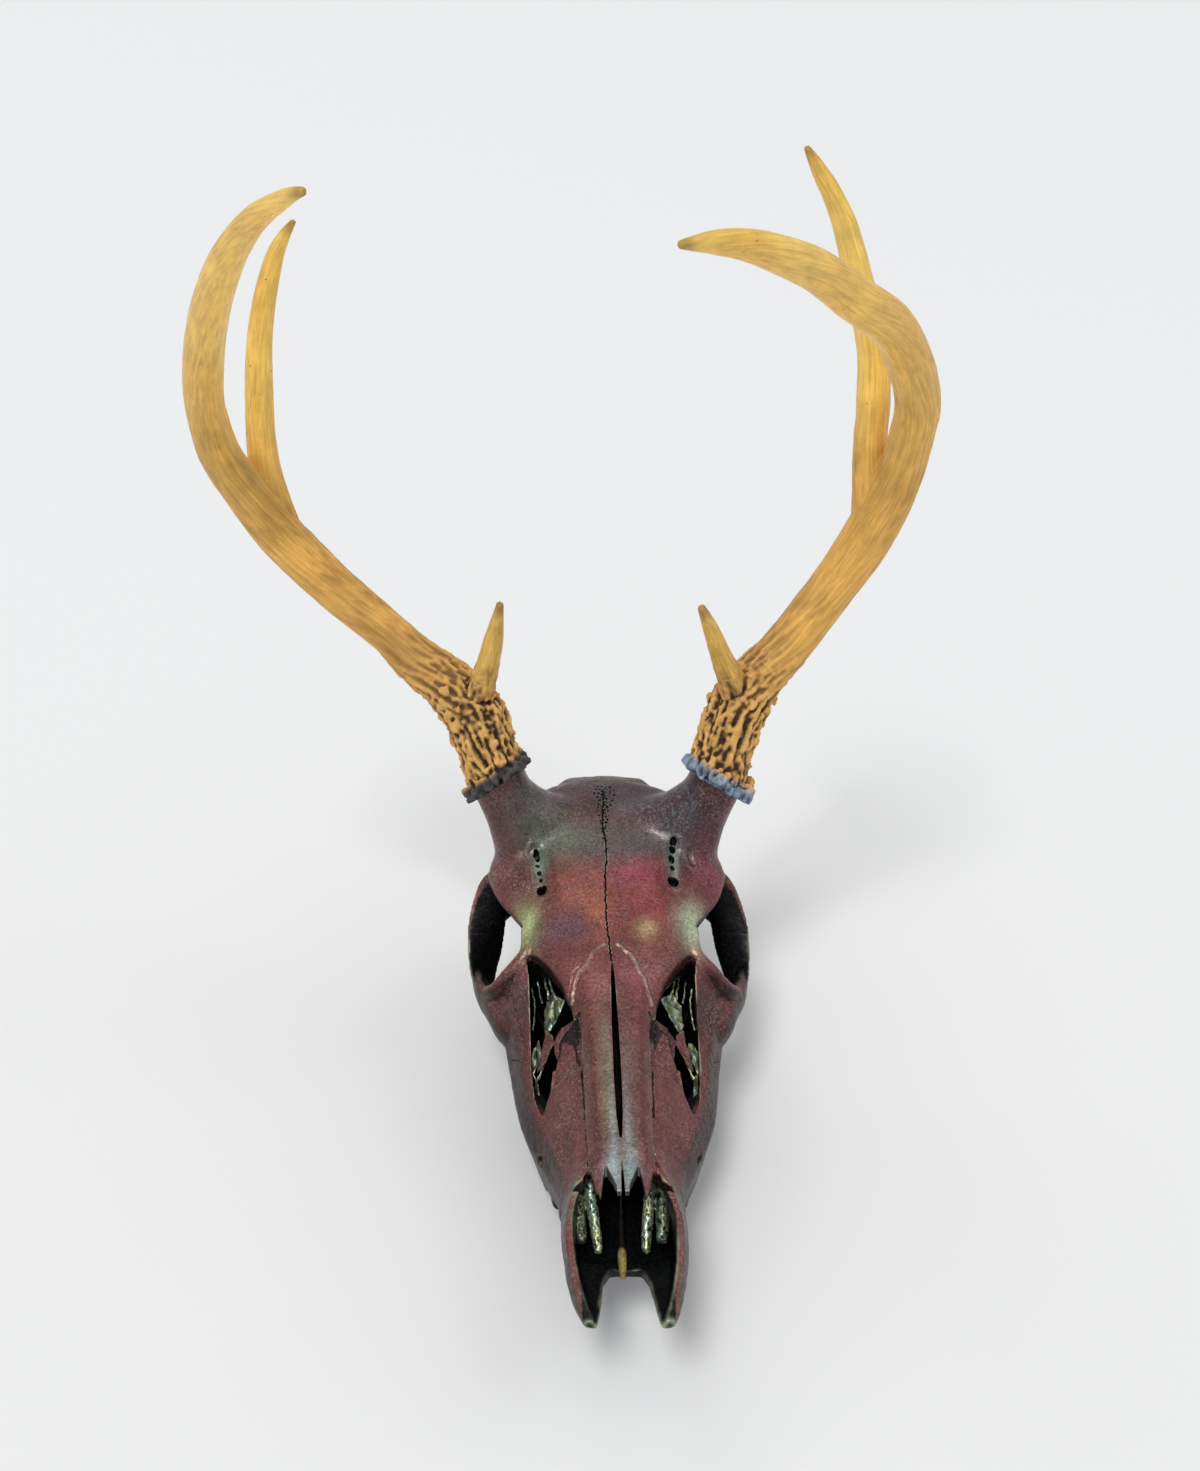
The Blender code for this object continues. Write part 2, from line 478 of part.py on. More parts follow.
def tooth(name, start, length, width, lobes):
    """One cheek tooth, lobed along its cheek side, its root sunk into the jaw."""
    middle, low = row_at(start + length / 2)
    sides, rings = 10 if lobes == 1 else 14, []
    for z, wide in ((ROOT_TOP, 0.88), (low + 4.5, 1.0), (low + 1.0, 0.97), (low, 0.86)):
        ring = []
        for k in range(sides):
            a = 2 * math.pi * k / sides
            along, across = rounded(math.cos(a), 0.55), rounded(math.sin(a), 0.75)
            pinch = 1.0 - 0.2 * (1 - abs(math.cos(a))) ** 3 * (lobes == 2)
            lean = -0.07 * (z - low)
            ring.append((middle + lean + across * 0.5 * width * wide * pinch,
                         start + 0.5 * length * (1 + along * wide), z))
        rings.append(ring)
    return skin(name, rings)


def tooth_row():
    made, start = [], ROW_START
    for i, (length, width, lobes) in enumerate(TEETH):
        made.append(tooth(f"tooth_{i}", start, length - 0.3, width, lobes))
        start += length
    return made


def make_body():
    solid = [loft("face", FACE), loft("brain", BRAIN), loft("forehead", FOREHEAD), ball("occiput", *OCCIPUT)]
    halves = [tube("pedicle", PEDICLE), tube("web", WEB), strut("palate_back", PALATE_BACK),
              ball("condyle", *CONDYLE), ball("bulla", *BULLA), ball("mastoid", *MASTOID),
              ball("ear_tube", *EAR_TUBE)]
    return soften(remesh(joined("skull", solid + both(halves)), SKULL_VOXEL, 12), SOFT_BROW, 36)


def soften(thing, box, rounds):
    """Smooth only what lies inside the box."""
    (x0, y0, z0), (x1, y1, z1) = box
    group = thing.vertex_groups.new(name="soft")
    for v in thing.data.vertices:
        x, y, z = abs(v.co.x), v.co.y, v.co.z
        if x0 < x < x1 and y0 < y < y1 and z0 < z < z1:
            group.add([v.index], min(1.0, (z - z0) / 8, (y - y0) / 8, (y1 - y) / 8), "REPLACE")
    mod = thing.modifiers.new("soft", "SMOOTH")
    mod.vertex_group = "soft"
    mod.iterations = rounds
    thing = settle(thing)
    thing.vertex_groups.clear()
    return thing


def lean(thing):
    """Set the lower parts a little to the animal's left, as this skull has them."""
    for v in thing.data.vertices:
        v.co.x += LEAN * max(0.0, LEAN_FROM - v.co.z)


def cut_all(thing, tools):
    for tool in tools:
        thing = boolean(thing, tool, "DIFFERENCE", "MANIFOLD")
        drop(tool)
    return thing


def make_skull():
    holes = [loft("passage", PASSAGE), ball("canal", *CANAL), ball("choana", *CHOANA),
             prism("tip_gap", TIP_GAP, "z", 12, 40)]
    pairs = [ball("orbit", *ORBIT), ball("ear_hole", *EAR_HOLE), ball("pit", *LACRIMAL_PIT),
             ball("cheek_hole", *CHEEK_HOLE), ball("brow_hole", *BROW_HOLE), ball("groove", *BROW_GROOVE),
             prism("vacuity", VACUITY, "z", 44, 110)]
    body = joined("skull", [make_body()] + both([trough("incisive", TROUGH)]))
    skull = cut_all(remesh(body, SKULL_VOXEL), holes + both(pairs))
    thin = both([loft("tips", NASAL_TIP, 4, False), ribbon("ring", ORBIT_RING), strut("arch", ARCH),
                 strut("orbit_front", ORBIT_FRONT, up=Vector((1, 0, 0.4))), tube("jugular", JUGULAR),
                 strut("pterygoid", PTERYGOID), tube("nuchal", NUCHAL)])
    skull = remesh(joined("skull", [skull] + thin), SKULL_VOXEL, 2, 0.4)
    return cut_all(skull, both([prism("notch", NASAL_NOTCH, "z", 44, 60)]) + [prism("slit", SLIT, "z", 44, 120)])


def make_antler(side):
    data = ANTLERS[side]
    root, axis = Vector(data["beam"][1][:3]), Vector(data["burr_axis"]).normalized()
    across = axis.orthogonal().normalized()
    over = axis.cross(across)
    pieces = [tube("beam", data["beam"], 5, 20), tube("back", data["back_tine"], 5, 16),
              tube("brow", data["brow_tine"], 5, 12)]
    random.seed(7 if side == "left" else 11)
    for k in range(BURR_PEARLS):
        a = 2 * math.pi * (k + random.uniform(-0.2, 0.2)) / BURR_PEARLS
        out = across * math.cos(a) + over * math.sin(a)
        size = random.uniform(2.2, 3.3)
        pieces.append(ball("pearl", root + axis * random.uniform(0.6, 3.4) + out * BURR_RADIUS[side], (size,) * 3, 2))
    beam = between(data["beam"][:5], 12)
    for k in range(BASE_PEARLS):
        row = beam[random.randrange(14, len(beam))]
        a = random.uniform(0, 2 * math.pi)
        out = across * math.cos(a) + over * math.sin(a)
        size = random.uniform(1.3, 2.2)
        pieces.append(ball("pearl", Vector(row[:3]) + out * (row[3] - 0.4), (size, size, size * 1.7), 2))
    whole = remesh(joined("antler", pieces), ANTLER_VOXEL, 2, 0.45)
    whole = thin_out(whole, ANTLER_TRIANGLES)
    below = slab(root + axis * -0.2, -axis, 40, 40)
    whole = boolean(whole, below, "DIFFERENCE")
    drop(below)
    for line, at in data["cuts"]:
        rows, low = data[line], int(at)
        spot = Vector(rows[low][:3]).lerp(Vector(rows[low + 1][:3]), at - low)
        ahead = (Vector(rows[low + 1][:3]) - Vector(rows[low][:3])).normalized()
        gap = slab(spot, ahead, rows[low][3] * (1.6 if line == "beam" else 1.3), KERF)
        whole = boolean(whole, gap, "DIFFERENCE")
        drop(gap)
    return whole


def nose_bones():
    """Thin scrolls of bone and the middle wall inside the nose."""
    wall = strut("vomer", VOMER, 2, 8)
    left = joined("turbinate_left", [strut("inner", CONCHA_INNER, 3, 10), strut("outer", CONCHA_OUTER, 3, 10),
                                     ball("bridge", *CONCHA_BRIDGE)])
    left = thin_out(remesh(left, 0.8, 1), 480)
    right = mirrored(left)
    right.name = "turbinate_right"
    for thing in (wall, left, right):
        thing.data.transform(TIP)
        largest_shell(thing)
    return [wall, left, right]


def grown(thing):
    """A copy whose surface stands KERF further out."""
    copy = add_object("grown", thing.data.copy())
    swell = copy.modifiers.new("swell", "DISPLACE")
    swell.strength = KERF * 1.1
    swell.mid_level = 0.0
    return settle(copy)


def slab(centre, normal, reach, depth):
    """A round plate from the centre out along the normal."""
    bm = bmesh.new()
    bmesh.ops.create_cone(bm, cap_ends=True, segments=24, radius1=reach, radius2=reach, depth=depth)
    turn = normal.to_track_quat("Z", "Y").to_matrix().to_4x4()
    bm.transform(Matrix.Translation(centre + normal * depth / 2) @ turn)
    return from_bmesh("slab", bm)


def shells(thing, least=60.0):
    """Part a mesh into its closed surfaces, dropping scraps."""
    bm = bmesh.new()
    bm.from_mesh(thing.data)
    bmesh.ops.remove_doubles(bm, verts=bm.verts, dist=0.004)
    bmesh.ops.dissolve_degenerate(bm, edges=bm.edges, dist=0.004)
    bmesh.ops.triangulate(bm, faces=bm.faces)
    left, found = set(bm.faces), []
    while left:
        stack, shell = [left.pop()], []
        while stack:
            face = stack.pop()
            shell.append(face)
            for edge in face.edges:
                for near in edge.link_faces:
                    if near in left:
                        left.remove(near)
                        stack.append(near)
        if sum(f.calc_area() for f in shell) > least:
            found.append(shell)
    made = []
    for shell in found:
        index = {}
        for face in shell:
            for vert in face.verts:
                index.setdefault(vert, len(index))
        mesh = bpy.data.meshes.new("shell")
        mesh.from_pydata([v.co[:] for v in index], [], [[index[v] for v in f.verts] for f in shell])
        made.append(add_object("shell", mesh))
    bm.free()
    drop(thing)
    return made


def centre_of(thing):
    return sum((v.co for v in thing.data.vertices), Vector()) / len(thing.data.vertices)


def name_antler(parts, side):
    """Name the five lengths by the line that each lies nearest to."""
    data = ANTLERS[side]
    fork, upper = int(data["cuts"][1][1]), int(data["cuts"][3][1])
    lines = {"antler_base": data["beam"][1:fork], "antler_beam": data["beam"][fork + 1:upper],
             "antler_tip": data["beam"][upper + 3:], "back_tine": data["back_tine"][3:],
             "brow_tine": data["brow_tine"][2:]}
    for name, line in lines.items():
        spot = sum((Vector(row[:3]) for row in line), Vector()) / len(line)
        best = min(parts, key=lambda p: min((v.co - spot).length for v in p.data.vertices)
                   + 0.3 * (centre_of(p) - spot).length)
        parts.remove(best)
        best.name = f"{name}_{side}"
    for scrap in parts:
        drop(scrap)


def paint(thing):
    kind = next(k for k in COLOURS if thing.name.startswith(k))
    colour, rough = COLOURS[kind]
    mat = bpy.data.materials.new(thing.name)
    mat.use_nodes = True
    shader = mat.node_tree.nodes["Principled BSDF"]
    shader.inputs["Base Color"].default_value = (*colour, 1)
    shader.inputs["Roughness"].default_value = rough
    thing.data.materials.clear()
    thing.data.materials.append(mat)


def main():
    clear_scene()
    skull = make_skull()
    skull = thin_out(skull, SKULL_TRIANGLES)
    skull.data.transform(TIP)
    for side in ("left", "right"):
        root, axis = Vector(ANTLERS[side]["beam"][1][:3]), Vector(ANTLERS[side]["burr_axis"]).normalized()
        above = slab(root - axis * (KERF + 0.2), axis, 40, 40)
        skull = boolean(skull, above, "DIFFERENCE", "MANIFOLD")
        drop(above)
    skull = cut_all(skull, [grown(bone) for bone in nose_bones()])
    floor = prism("floor", ((-90, -20), (90, -20), (90, 330), (-90, 330)), "z", -30, 0)
    skull = boolean(skull, floor, "DIFFERENCE", "MANIFOLD")
    drop(floor)
    for sign, side in ((1, "left"), (-1, "right")):
        half = KERF / 2
        for name, outline, axis, low, high in (
                ("nasal", NASAL_PLAN, "z", 44, 120), ("frontal", FRONTAL_SIDE, "x", 0, 75),
                ("cheekbone", CHEEK_SIDE, "x", 31, 80), ("premaxilla", PREMAXILLA_SIDE, "x", 0, 60),
                ("maxilla", MAXILLA_SIDE, "x", 0, 60)):
            if axis == "z":
                outline = tuple((sign * max(x, half), y) for x, y in outline)
                region = (outline, axis, low, high)
            else:
                near, far = max(low, half), high
                region = (outline, axis, near, far) if sign > 0 else (outline, axis, -far, -near)
            skull, node = carve(skull, region, f"{name}_{side}")
            if name == "maxilla":
                row = joined("teeth", tooth_row())
                if sign < 0:
                    row.data.transform(Matrix.Diagonal((-1, 1, 1, 1)))
                    row.data.flip_normals()
                row.data.transform(TIP)
                node = boolean(node, row, "UNION", "MANIFOLD")
                drop(row)
                largest_shell(node)
            node.name = f"{name}_{side}"
    skull.name = "braincase"
    largest_shell(skull)
    for thing in bpy.data.objects:
        lean(thing)
    for side in ("left", "right"):
        name_antler(shells(make_antler(side)), side)
    for thing in list(bpy.data.objects):
        thing.data.transform(Matrix.Diagonal((MM, MM, MM, 1)) @ Matrix.Translation(CENTRE))
        paint(thing)


main()
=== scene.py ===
import math
import random

import bmesh
import bpy
import numpy as np
from mathutils import Matrix, Vector
from mathutils.bvhtree import BVHTree
from mathutils.kdtree import KDTree


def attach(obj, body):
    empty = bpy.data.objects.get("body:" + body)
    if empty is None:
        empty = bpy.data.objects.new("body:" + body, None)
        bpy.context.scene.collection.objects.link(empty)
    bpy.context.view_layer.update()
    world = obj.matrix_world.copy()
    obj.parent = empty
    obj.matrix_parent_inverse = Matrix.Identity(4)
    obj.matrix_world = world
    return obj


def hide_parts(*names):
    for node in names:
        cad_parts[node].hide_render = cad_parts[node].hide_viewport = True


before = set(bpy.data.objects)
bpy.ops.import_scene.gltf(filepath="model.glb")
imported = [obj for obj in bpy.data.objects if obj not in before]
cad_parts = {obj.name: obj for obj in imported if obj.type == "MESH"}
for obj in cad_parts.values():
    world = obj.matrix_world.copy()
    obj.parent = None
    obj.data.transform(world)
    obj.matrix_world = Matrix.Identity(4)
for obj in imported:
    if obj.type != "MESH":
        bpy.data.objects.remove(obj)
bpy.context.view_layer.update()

# Everything below is drawn in millimetres in the skull's own frame: +X is the animal's left,
# +Y runs from nose to nape, +Z is up. Then the skull is tipped onto its molars and centred.
mm = 0.001
skullShift = Vector((19.3, -160.9, 0.0))
restTilt = math.radians(6.0)
tiltPivot = Vector((0, 170, 0))
tip = Matrix.Translation(tiltPivot) @ Matrix.Rotation(-restTilt, 4, "X") @ Matrix.Translation(-tiltPivot)
toRoom = Matrix.Diagonal((mm, mm, mm, 1)) @ Matrix.Translation(skullShift)
fineVoxel = 0.6
antlerVoxel = 0.65


# Camera and studio

viewpoint = {
    "lens": 39.646, "place": (-30.48, -363.41, 494.39),
    "right": (0.999247, -0.029828, 0.024790), "down": (0.006719, -0.496374, -0.868086),
    "ahead": (0.038199, 0.867599, -0.495800),
}
studio = {
    "floorSize": 14.0, "floorTone": (0.86, 0.86, 0.86), "roomTone": (0.96, 0.98, 1.0), "roomStrength": 0.50,
    "lamps": (("lampFront", (-0.35, -0.75, 1.5), 18.0, 1.45), ("lampSide", (0.9, 0.1, 1.3), 30.0, 0.25),
              ("lampBack", (-0.5, 1.1, 1.4), 30.0, 0.25)),
}


def makeCamera():
    data = bpy.data.cameras.new("photoCamera")
    data.lens = viewpoint["lens"]
    data.sensor_width = 36.0
    data.clip_start, data.clip_end = 0.01, 60.0
    camera = bpy.data.objects.new("photoCamera", data)
    bpy.context.scene.collection.objects.link(camera)
    right, down, ahead = (Vector(viewpoint[k]) for k in ("right", "down", "ahead"))
    turn = Matrix((right, -down, -ahead)).transposed().to_4x4()
    camera.matrix_world = Matrix.Translation((Vector(viewpoint["place"]) + skullShift) * mm) @ turn
    bpy.context.scene.camera = camera


def makeStudio():
    bm = bmesh.new()
    bmesh.ops.create_grid(bm, x_segments=8, y_segments=8, size=studio["floorSize"] / 2)
    mesh = bpy.data.meshes.new("studioFloor")
    bm.to_mesh(mesh)
    bm.free()
    floor = bpy.data.objects.new("studioFloor", mesh)
    bpy.context.scene.collection.objects.link(floor)
    floor.location.z = -0.0004
    mat, _, shader = freshMaterial("studioPaper")
    shader.inputs["Base Color"].default_value = (*studio["floorTone"], 1)
    shader.inputs["Roughness"].default_value = 0.7
    mesh.materials.append(mat)
    for name, place, wide, power in studio["lamps"]:
        data = bpy.data.lights.new(name, "SUN")
        data.angle, data.energy = math.radians(wide), power
        lamp = bpy.data.objects.new(name, data)
        bpy.context.scene.collection.objects.link(lamp)
        aim = Vector((0, 0, 0.12)) - Vector(place)
        lamp.matrix_world = Matrix.Translation(place) @ aim.to_track_quat("-Z", "Y").to_matrix().to_4x4()
    world = bpy.data.worlds.new("studioRoom")
    bpy.context.scene.world = world
    world.use_nodes = True
    sky = world.node_tree.nodes["Background"]
    sky.inputs["Color"].default_value = (*studio["roomTone"], 1)
    sky.inputs["Strength"].default_value = studio["roomStrength"]
    bpy.context.scene.view_settings.view_transform = "Standard"


# Mesh making

def addObject(name, mesh):
    thing = bpy.data.objects.new(name, mesh)
    bpy.context.scene.collection.objects.link(thing)
    return thing


def drop(thing):
    bpy.data.objects.remove(thing, do_unlink=True)


def fromBmesh(name, bm):
    bm.normal_update()
    bmesh.ops.recalc_face_normals(bm, faces=bm.faces)
    mesh = bpy.data.meshes.new(name)
    bm.to_mesh(mesh)
    bm.free()
    return addObject(name, mesh)


def settle(thing):
    # Bakes the modifiers, or a curve, into a plain mesh.
    graph = bpy.context.evaluated_depsgraph_get()
    graph.update()
    mesh = bpy.data.meshes.new_from_object(thing.evaluated_get(graph))
    thing.modifiers.clear()
    if thing.type == "MESH":
        old, thing.data = thing.data, mesh
        bpy.data.meshes.remove(old)
        return thing
    name = thing.name
    drop(thing)
    return addObject(name, mesh)


def between(rows, steps):
    # Smooth rows between the given ones, all values alike.
    out = []
    for i in range(len(rows) - 1):
        a, b, c, d = rows[max(i - 1, 0)], rows[i], rows[i + 1], rows[min(i + 2, len(rows) - 1)]
        for k in range(steps):
            t = k / steps
            out.append([0.5 * (2 * q + (r - p) * t + (2 * p - 5 * q + 4 * r - s) * t * t
                               + (3 * q - p - 3 * r + s) * t * t * t) for p, q, r, s in zip(a, b, c, d)])
    out.append(list(rows[-1]))
    return out


def heading(rows, i):
    # The way a line runs at its row i.
    return Vector(rows[min(i + 1, len(rows) - 1)][:3]) - Vector(rows[max(i - 1, 0)][:3])


def skin(name, rings):
    bm = bmesh.new()
    loops = [[bm.verts.new(p) for p in ring] for ring in rings]
    for a, b in zip(loops, loops[1:]):
        for k in range(len(a)):
            j = (k + 1) % len(a)
            bm.faces.new((a[k], a[j], b[j], b[k]))
    bm.faces.new(loops[0])
    bm.faces.new(loops[-1][::-1])
    bmesh.ops.remove_doubles(bm, verts=bm.verts, dist=0.0005)
    return fromBmesh(name, bm)


def loft(name, stations, steps=6, mirror=True):
    rows = between([[s[0]] + [v for point in s[1:] for v in point] for s in stations], steps)
    rings = []
    for row in rows:
        half = [(row[i], row[0], row[i + 1]) for i in range(1, len(row), 2)]
        if mirror:
            half += [(-x, y, z) for x, y, z in reversed(half[1:-1])]
        rings.append(half)
    return skin(name, rings)


def strut(name, points, steps=6, sides=16, up=Vector((0, 0, 1))):
    # A flat strut along (x, y, z, half width, half height).
    rows = between(points, steps)
    turn = [2 * math.pi * k / sides for k in range(sides)]
    rings = []
    for i, row in enumerate(rows):
        ahead = heading(rows, i)
        side = ahead.cross(up).normalized()
        top = side.cross(ahead).normalized()
        wide, high = side * row[3], top * row[4]
        rings.append([Vector(row[:3]) + wide * math.cos(a) + high * math.sin(a) for a in turn])
    return skin(name, rings)


def tube(name, points, steps=6, sides=20):
    # A round strut along (x, y, z, radius).
    curve = bpy.data.curves.new(name, "CURVE")
    curve.dimensions = "3D"
    curve.bevel_depth = 1.0
    curve.bevel_resolution = sides // 4
    curve.use_fill_caps = True
    curve.twist_mode = "MINIMUM"
    rows = between(points, steps)
    spline = curve.splines.new("POLY")
    spline.points.add(len(rows) - 1)
    for point, row in zip(spline.points, rows):
        point.co = (*row[:3], 1)
        point.radius = row[3]
    return settle(addObject(name, curve))


def ribbon(name, lips, steps=6, sides=16):
    # A thick band between an outer and an inner lip, rounded at both.
    rows = between(lips, steps)
    turn = [2 * math.pi * k / sides for k in range(sides)]
    rings = []
    for i, row in enumerate(rows):
        outer, inner = Vector(row[:3]), Vector(row[3:6])
        side = (outer - inner) / 2
        top = side.cross(heading(rows, i)).normalized() * row[6] / 2
        rings.append([(outer + inner) / 2 + side * math.cos(a) + top * math.sin(a) for a in turn])
    return skin(name, rings)


def ball(name, centre, half, detail=3):
    bm = bmesh.new()
    bmesh.ops.create_icosphere(bm, subdivisions=detail, radius=1.0)
    bm.transform(Matrix.Translation(centre) @ Matrix.Diagonal((*half, 1)))
    return fromBmesh(name, bm)


def prism(name, outline, axis, low, high):
    place = {"z": lambda p, h: (p[0], p[1], h), "x": lambda p, h: (h, p[0], p[1])}[axis]
    return skin(name, [[place(p, low) for p in outline], [place(p, high) for p in outline]])


def mirrored(thing):
    twin = addObject(thing.name + "Twin", thing.data.copy())
    twin.data.transform(Matrix.Diagonal((-1, 1, 1, 1)))
    twin.data.flip_normals()
    return twin


def onSide(thing, sign):
    # The piece itself for the left side, its mirror image for the right.
    if sign > 0:
        return thing
    twin = mirrored(thing)
    drop(thing)
    return twin


def both(things):
    return list(things) + [mirrored(t) for t in things]


def joined(name, things):
    bm = bmesh.new()
    for thing in things:
        bm.from_mesh(thing.data)
        drop(thing)
    mesh = bpy.data.meshes.new(name)
    bm.to_mesh(mesh)
    bm.free()
    return addObject(name, mesh)


def remesh(thing, voxel, rounds=0, factor=0.5):
    mod = thing.modifiers.new("voxels", "REMESH")
    mod.mode = "VOXEL"
    mod.voxel_size = voxel
    if rounds:
        soft = thing.modifiers.new("soft", "SMOOTH")
        soft.iterations = rounds
        soft.factor = factor
    return settle(thing)


def boolean(thing, other, kind="DIFFERENCE"):
    mod = thing.modifiers.new("cut", "BOOLEAN")
    mod.object = other
    mod.operation = kind
    mod.solver = "MANIFOLD"
    return settle(thing)


def cutAll(thing, tools):
    for tool in tools:
        thing = boolean(thing, tool)
        drop(tool)
    return thing


def parted(thing, least=200):
    # Splits a mesh into its closed surfaces and drops scraps with few corners.
    for other in bpy.context.selected_objects:
        other.select_set(False)
    thing.select_set(True)
    bpy.context.view_layer.objects.active = thing
    bpy.ops.mesh.separate(type="LOOSE")
    made = []
    for shell in list(bpy.context.selected_objects):
        if len(shell.data.vertices) < least:
            drop(shell)
        else:
            made.append(shell)
    return made


def biggest(thing):
    name = thing.name
    shells = parted(thing)
    shells.sort(key=lambda s: -len(s.data.vertices))
    for scrap in shells[1:]:
        drop(scrap)
    shells[0].name = name
    return shells[0]


# Numbers on whole meshes at once

def placesOf(mesh):
    flat = np.empty(len(mesh.vertices) * 3, np.float32)
    mesh.vertices.foreach_get("co", flat)
    return flat.reshape(-1, 3).astype(np.float64)


def normalsOf(mesh):
    flat = np.empty(len(mesh.vertices) * 3, np.float32)
    mesh.vertex_normals.foreach_get("vector", flat)
    return flat.reshape(-1, 3).astype(np.float64)


def setPlaces(mesh, places):
    mesh.vertices.foreach_set("co", places.astype(np.float32).ravel())
    mesh.update()


def softNoise(places, size, seed):
    # Smooth value noise between -1 and 1, one bump per size.
    spot = places / size + seed * 17.31
    cell = np.floor(spot).astype(np.int64)
    part = spot - cell
    part = part * part * (3 - 2 * part)
    total = np.zeros(len(places))
    for corner in range(8):
        step = np.array((corner & 1, corner >> 1 & 1, corner >> 2 & 1))
        key = cell + step
        mixed = (key[:, 0] * 73856093) ^ (key[:, 1] * 19349663) ^ (key[:, 2] * 83492791) ^ (seed * 97531)
        mixed = ((mixed ^ (mixed >> 13)) * 1274126177) & 0xFFFFFFFF
        value = ((mixed ^ (mixed >> 15)) & 0xFFFF) / 65535.0
        total += value * np.prod(np.where(step, part, 1 - part), axis=1)
    return total * 2 - 1


def layeredNoise(places, size, seed, layers=3):
    total, height = np.zeros(len(places)), 1.0
    for k in range(layers):
        total += height * softNoise(places, size / 2 ** k, seed + k)
        height *= 0.5
    return total


def nearLine(places, line):
    # Distance from each place to a polyline.
    best = np.full(len(places), 1e9)
    for a, b in zip(line, line[1:]):
        a, b = np.array(a, float), np.array(b, float)
        along = b - a
        t = np.clip(((places - a) @ along) / max(along @ along, 1e-9), 0, 1)
        best = np.minimum(best, np.linalg.norm(places - a - t[:, None] * along, axis=1))
    return best


def ramp(values, low, high):
    t = np.clip((values - low) / (high - low), 0, 1)
    return t * t * (3 - 2 * t)


def bell(away, middle, wide):
    return np.exp(-((away - middle) / wide) ** 2)


def blend(one, two, share):
    return one * (1 - share) + two * share


def bends(mesh, rounds=2):
    # How far each vertex stands out of its neighbours (+) or sinks below them (-), in mm.
    places, normals = placesOf(mesh), normalsOf(mesh)
    ends = np.empty(len(mesh.edges) * 2, np.int32)
    mesh.edges.foreach_get("vertices", ends)
    a, b = ends[0::2], ends[1::2]
    count = np.maximum(np.bincount(a, minlength=len(places)) + np.bincount(b, minlength=len(places)), 1)

    def averaged(values):
        out = np.zeros_like(values)
        for k in range(values.shape[1]):
            one, two = (np.bincount(p, values[q, k], len(places)) for p, q in ((a, b), (b, a)))
            out[:, k] = (one + two) / count
        return out

    around = averaged(places)
    for _ in range(rounds):
        around = averaged(around)
    height = ((places - around) * normals).sum(1)
    return averaged(height[:, None])[:, 0]


def setNumbers(mesh, name, values):
    layer = mesh.attributes.get(name) or mesh.attributes.new(name, "FLOAT", "POINT")
    layer.data.foreach_set("value", np.asarray(values, np.float32))


def setColours(mesh, name, values):
    layer = mesh.attributes.get(name) or mesh.attributes.new(name, "FLOAT_COLOR", "POINT")
    full = np.ones((len(values), 4), np.float32)
    full[:, :3] = values
    layer.data.foreach_set("color", full.ravel())


def setVectors(mesh, name, values):
    layer = mesh.attributes.get(name) or mesh.attributes.new(name, "FLOAT_VECTOR", "POINT")
    layer.data.foreach_set("vector", np.asarray(values, np.float32).ravel())


def smoothShade(mesh, angle=math.radians(62)):
    mesh.polygons.foreach_set("use_smooth", np.ones(len(mesh.polygons), bool))
    mesh.set_sharp_from_angle(angle=angle)


def linear(rgb):
    # From an eight-bit colour to the linear one that a shader takes.
    return np.array([(c / 255 / 12.92) if c <= 10 else ((c / 255 + 0.055) / 1.055) ** 2.4 for c in rgb])


# Node trees

def freshMaterial(name):
    mat = bpy.data.materials.new(name)
    mat.use_nodes = True
    return mat, mat.node_tree, mat.node_tree.nodes["Principled BSDF"]


def wear(piece, mat):
    piece.data.materials.clear()
    piece.data.materials.append(mat)


def put(tree, kind, values=None, **settings):
    node = tree.nodes.new(kind)
    for key, value in settings.items():
        setattr(node, key, value)
    for key, value in (values or {}).items():
        if isinstance(value, bpy.types.NodeSocket):
            tree.links.new(value, node.inputs[key])
        else:
            node.inputs[key].default_value = value
    return node


def told(tree, name, kind="Fac"):
    return put(tree, "ShaderNodeAttribute", attribute_name=name).outputs[kind]


def mixed(tree, share, one, two, blend="MIX"):
    node = tree.nodes.new("ShaderNodeMix")
    node.data_type, node.blend_type = "RGBA", blend
    for socket, value in ((node.inputs[0], share), (node.inputs[6], one), (node.inputs[7], two)):
        if isinstance(value, bpy.types.NodeSocket):
            tree.links.new(value, socket)
        else:
            socket.default_value = value
    return node.outputs[2]


def spread(tree, value, low, high, toLow=0.0, toHigh=1.0):
    return put(tree, "ShaderNodeMapRange", {"Value": value, "From Min": low, "From Max": high,
                                            "To Min": toLow, "To Max": toHigh}).outputs["Result"]


def sums(tree, kind, one, two):
    return put(tree, "ShaderNodeMath", {0: one, 1: two}, operation=kind).outputs[0]


def grainOf(tree, vector, scale, detail=2.0, roughness=0.5):
    return put(tree, "ShaderNodeTexNoise", {"Vector": vector, "Scale": scale, "Detail": detail,
                                            "Roughness": roughness}).outputs["Fac"]


# The painted bone

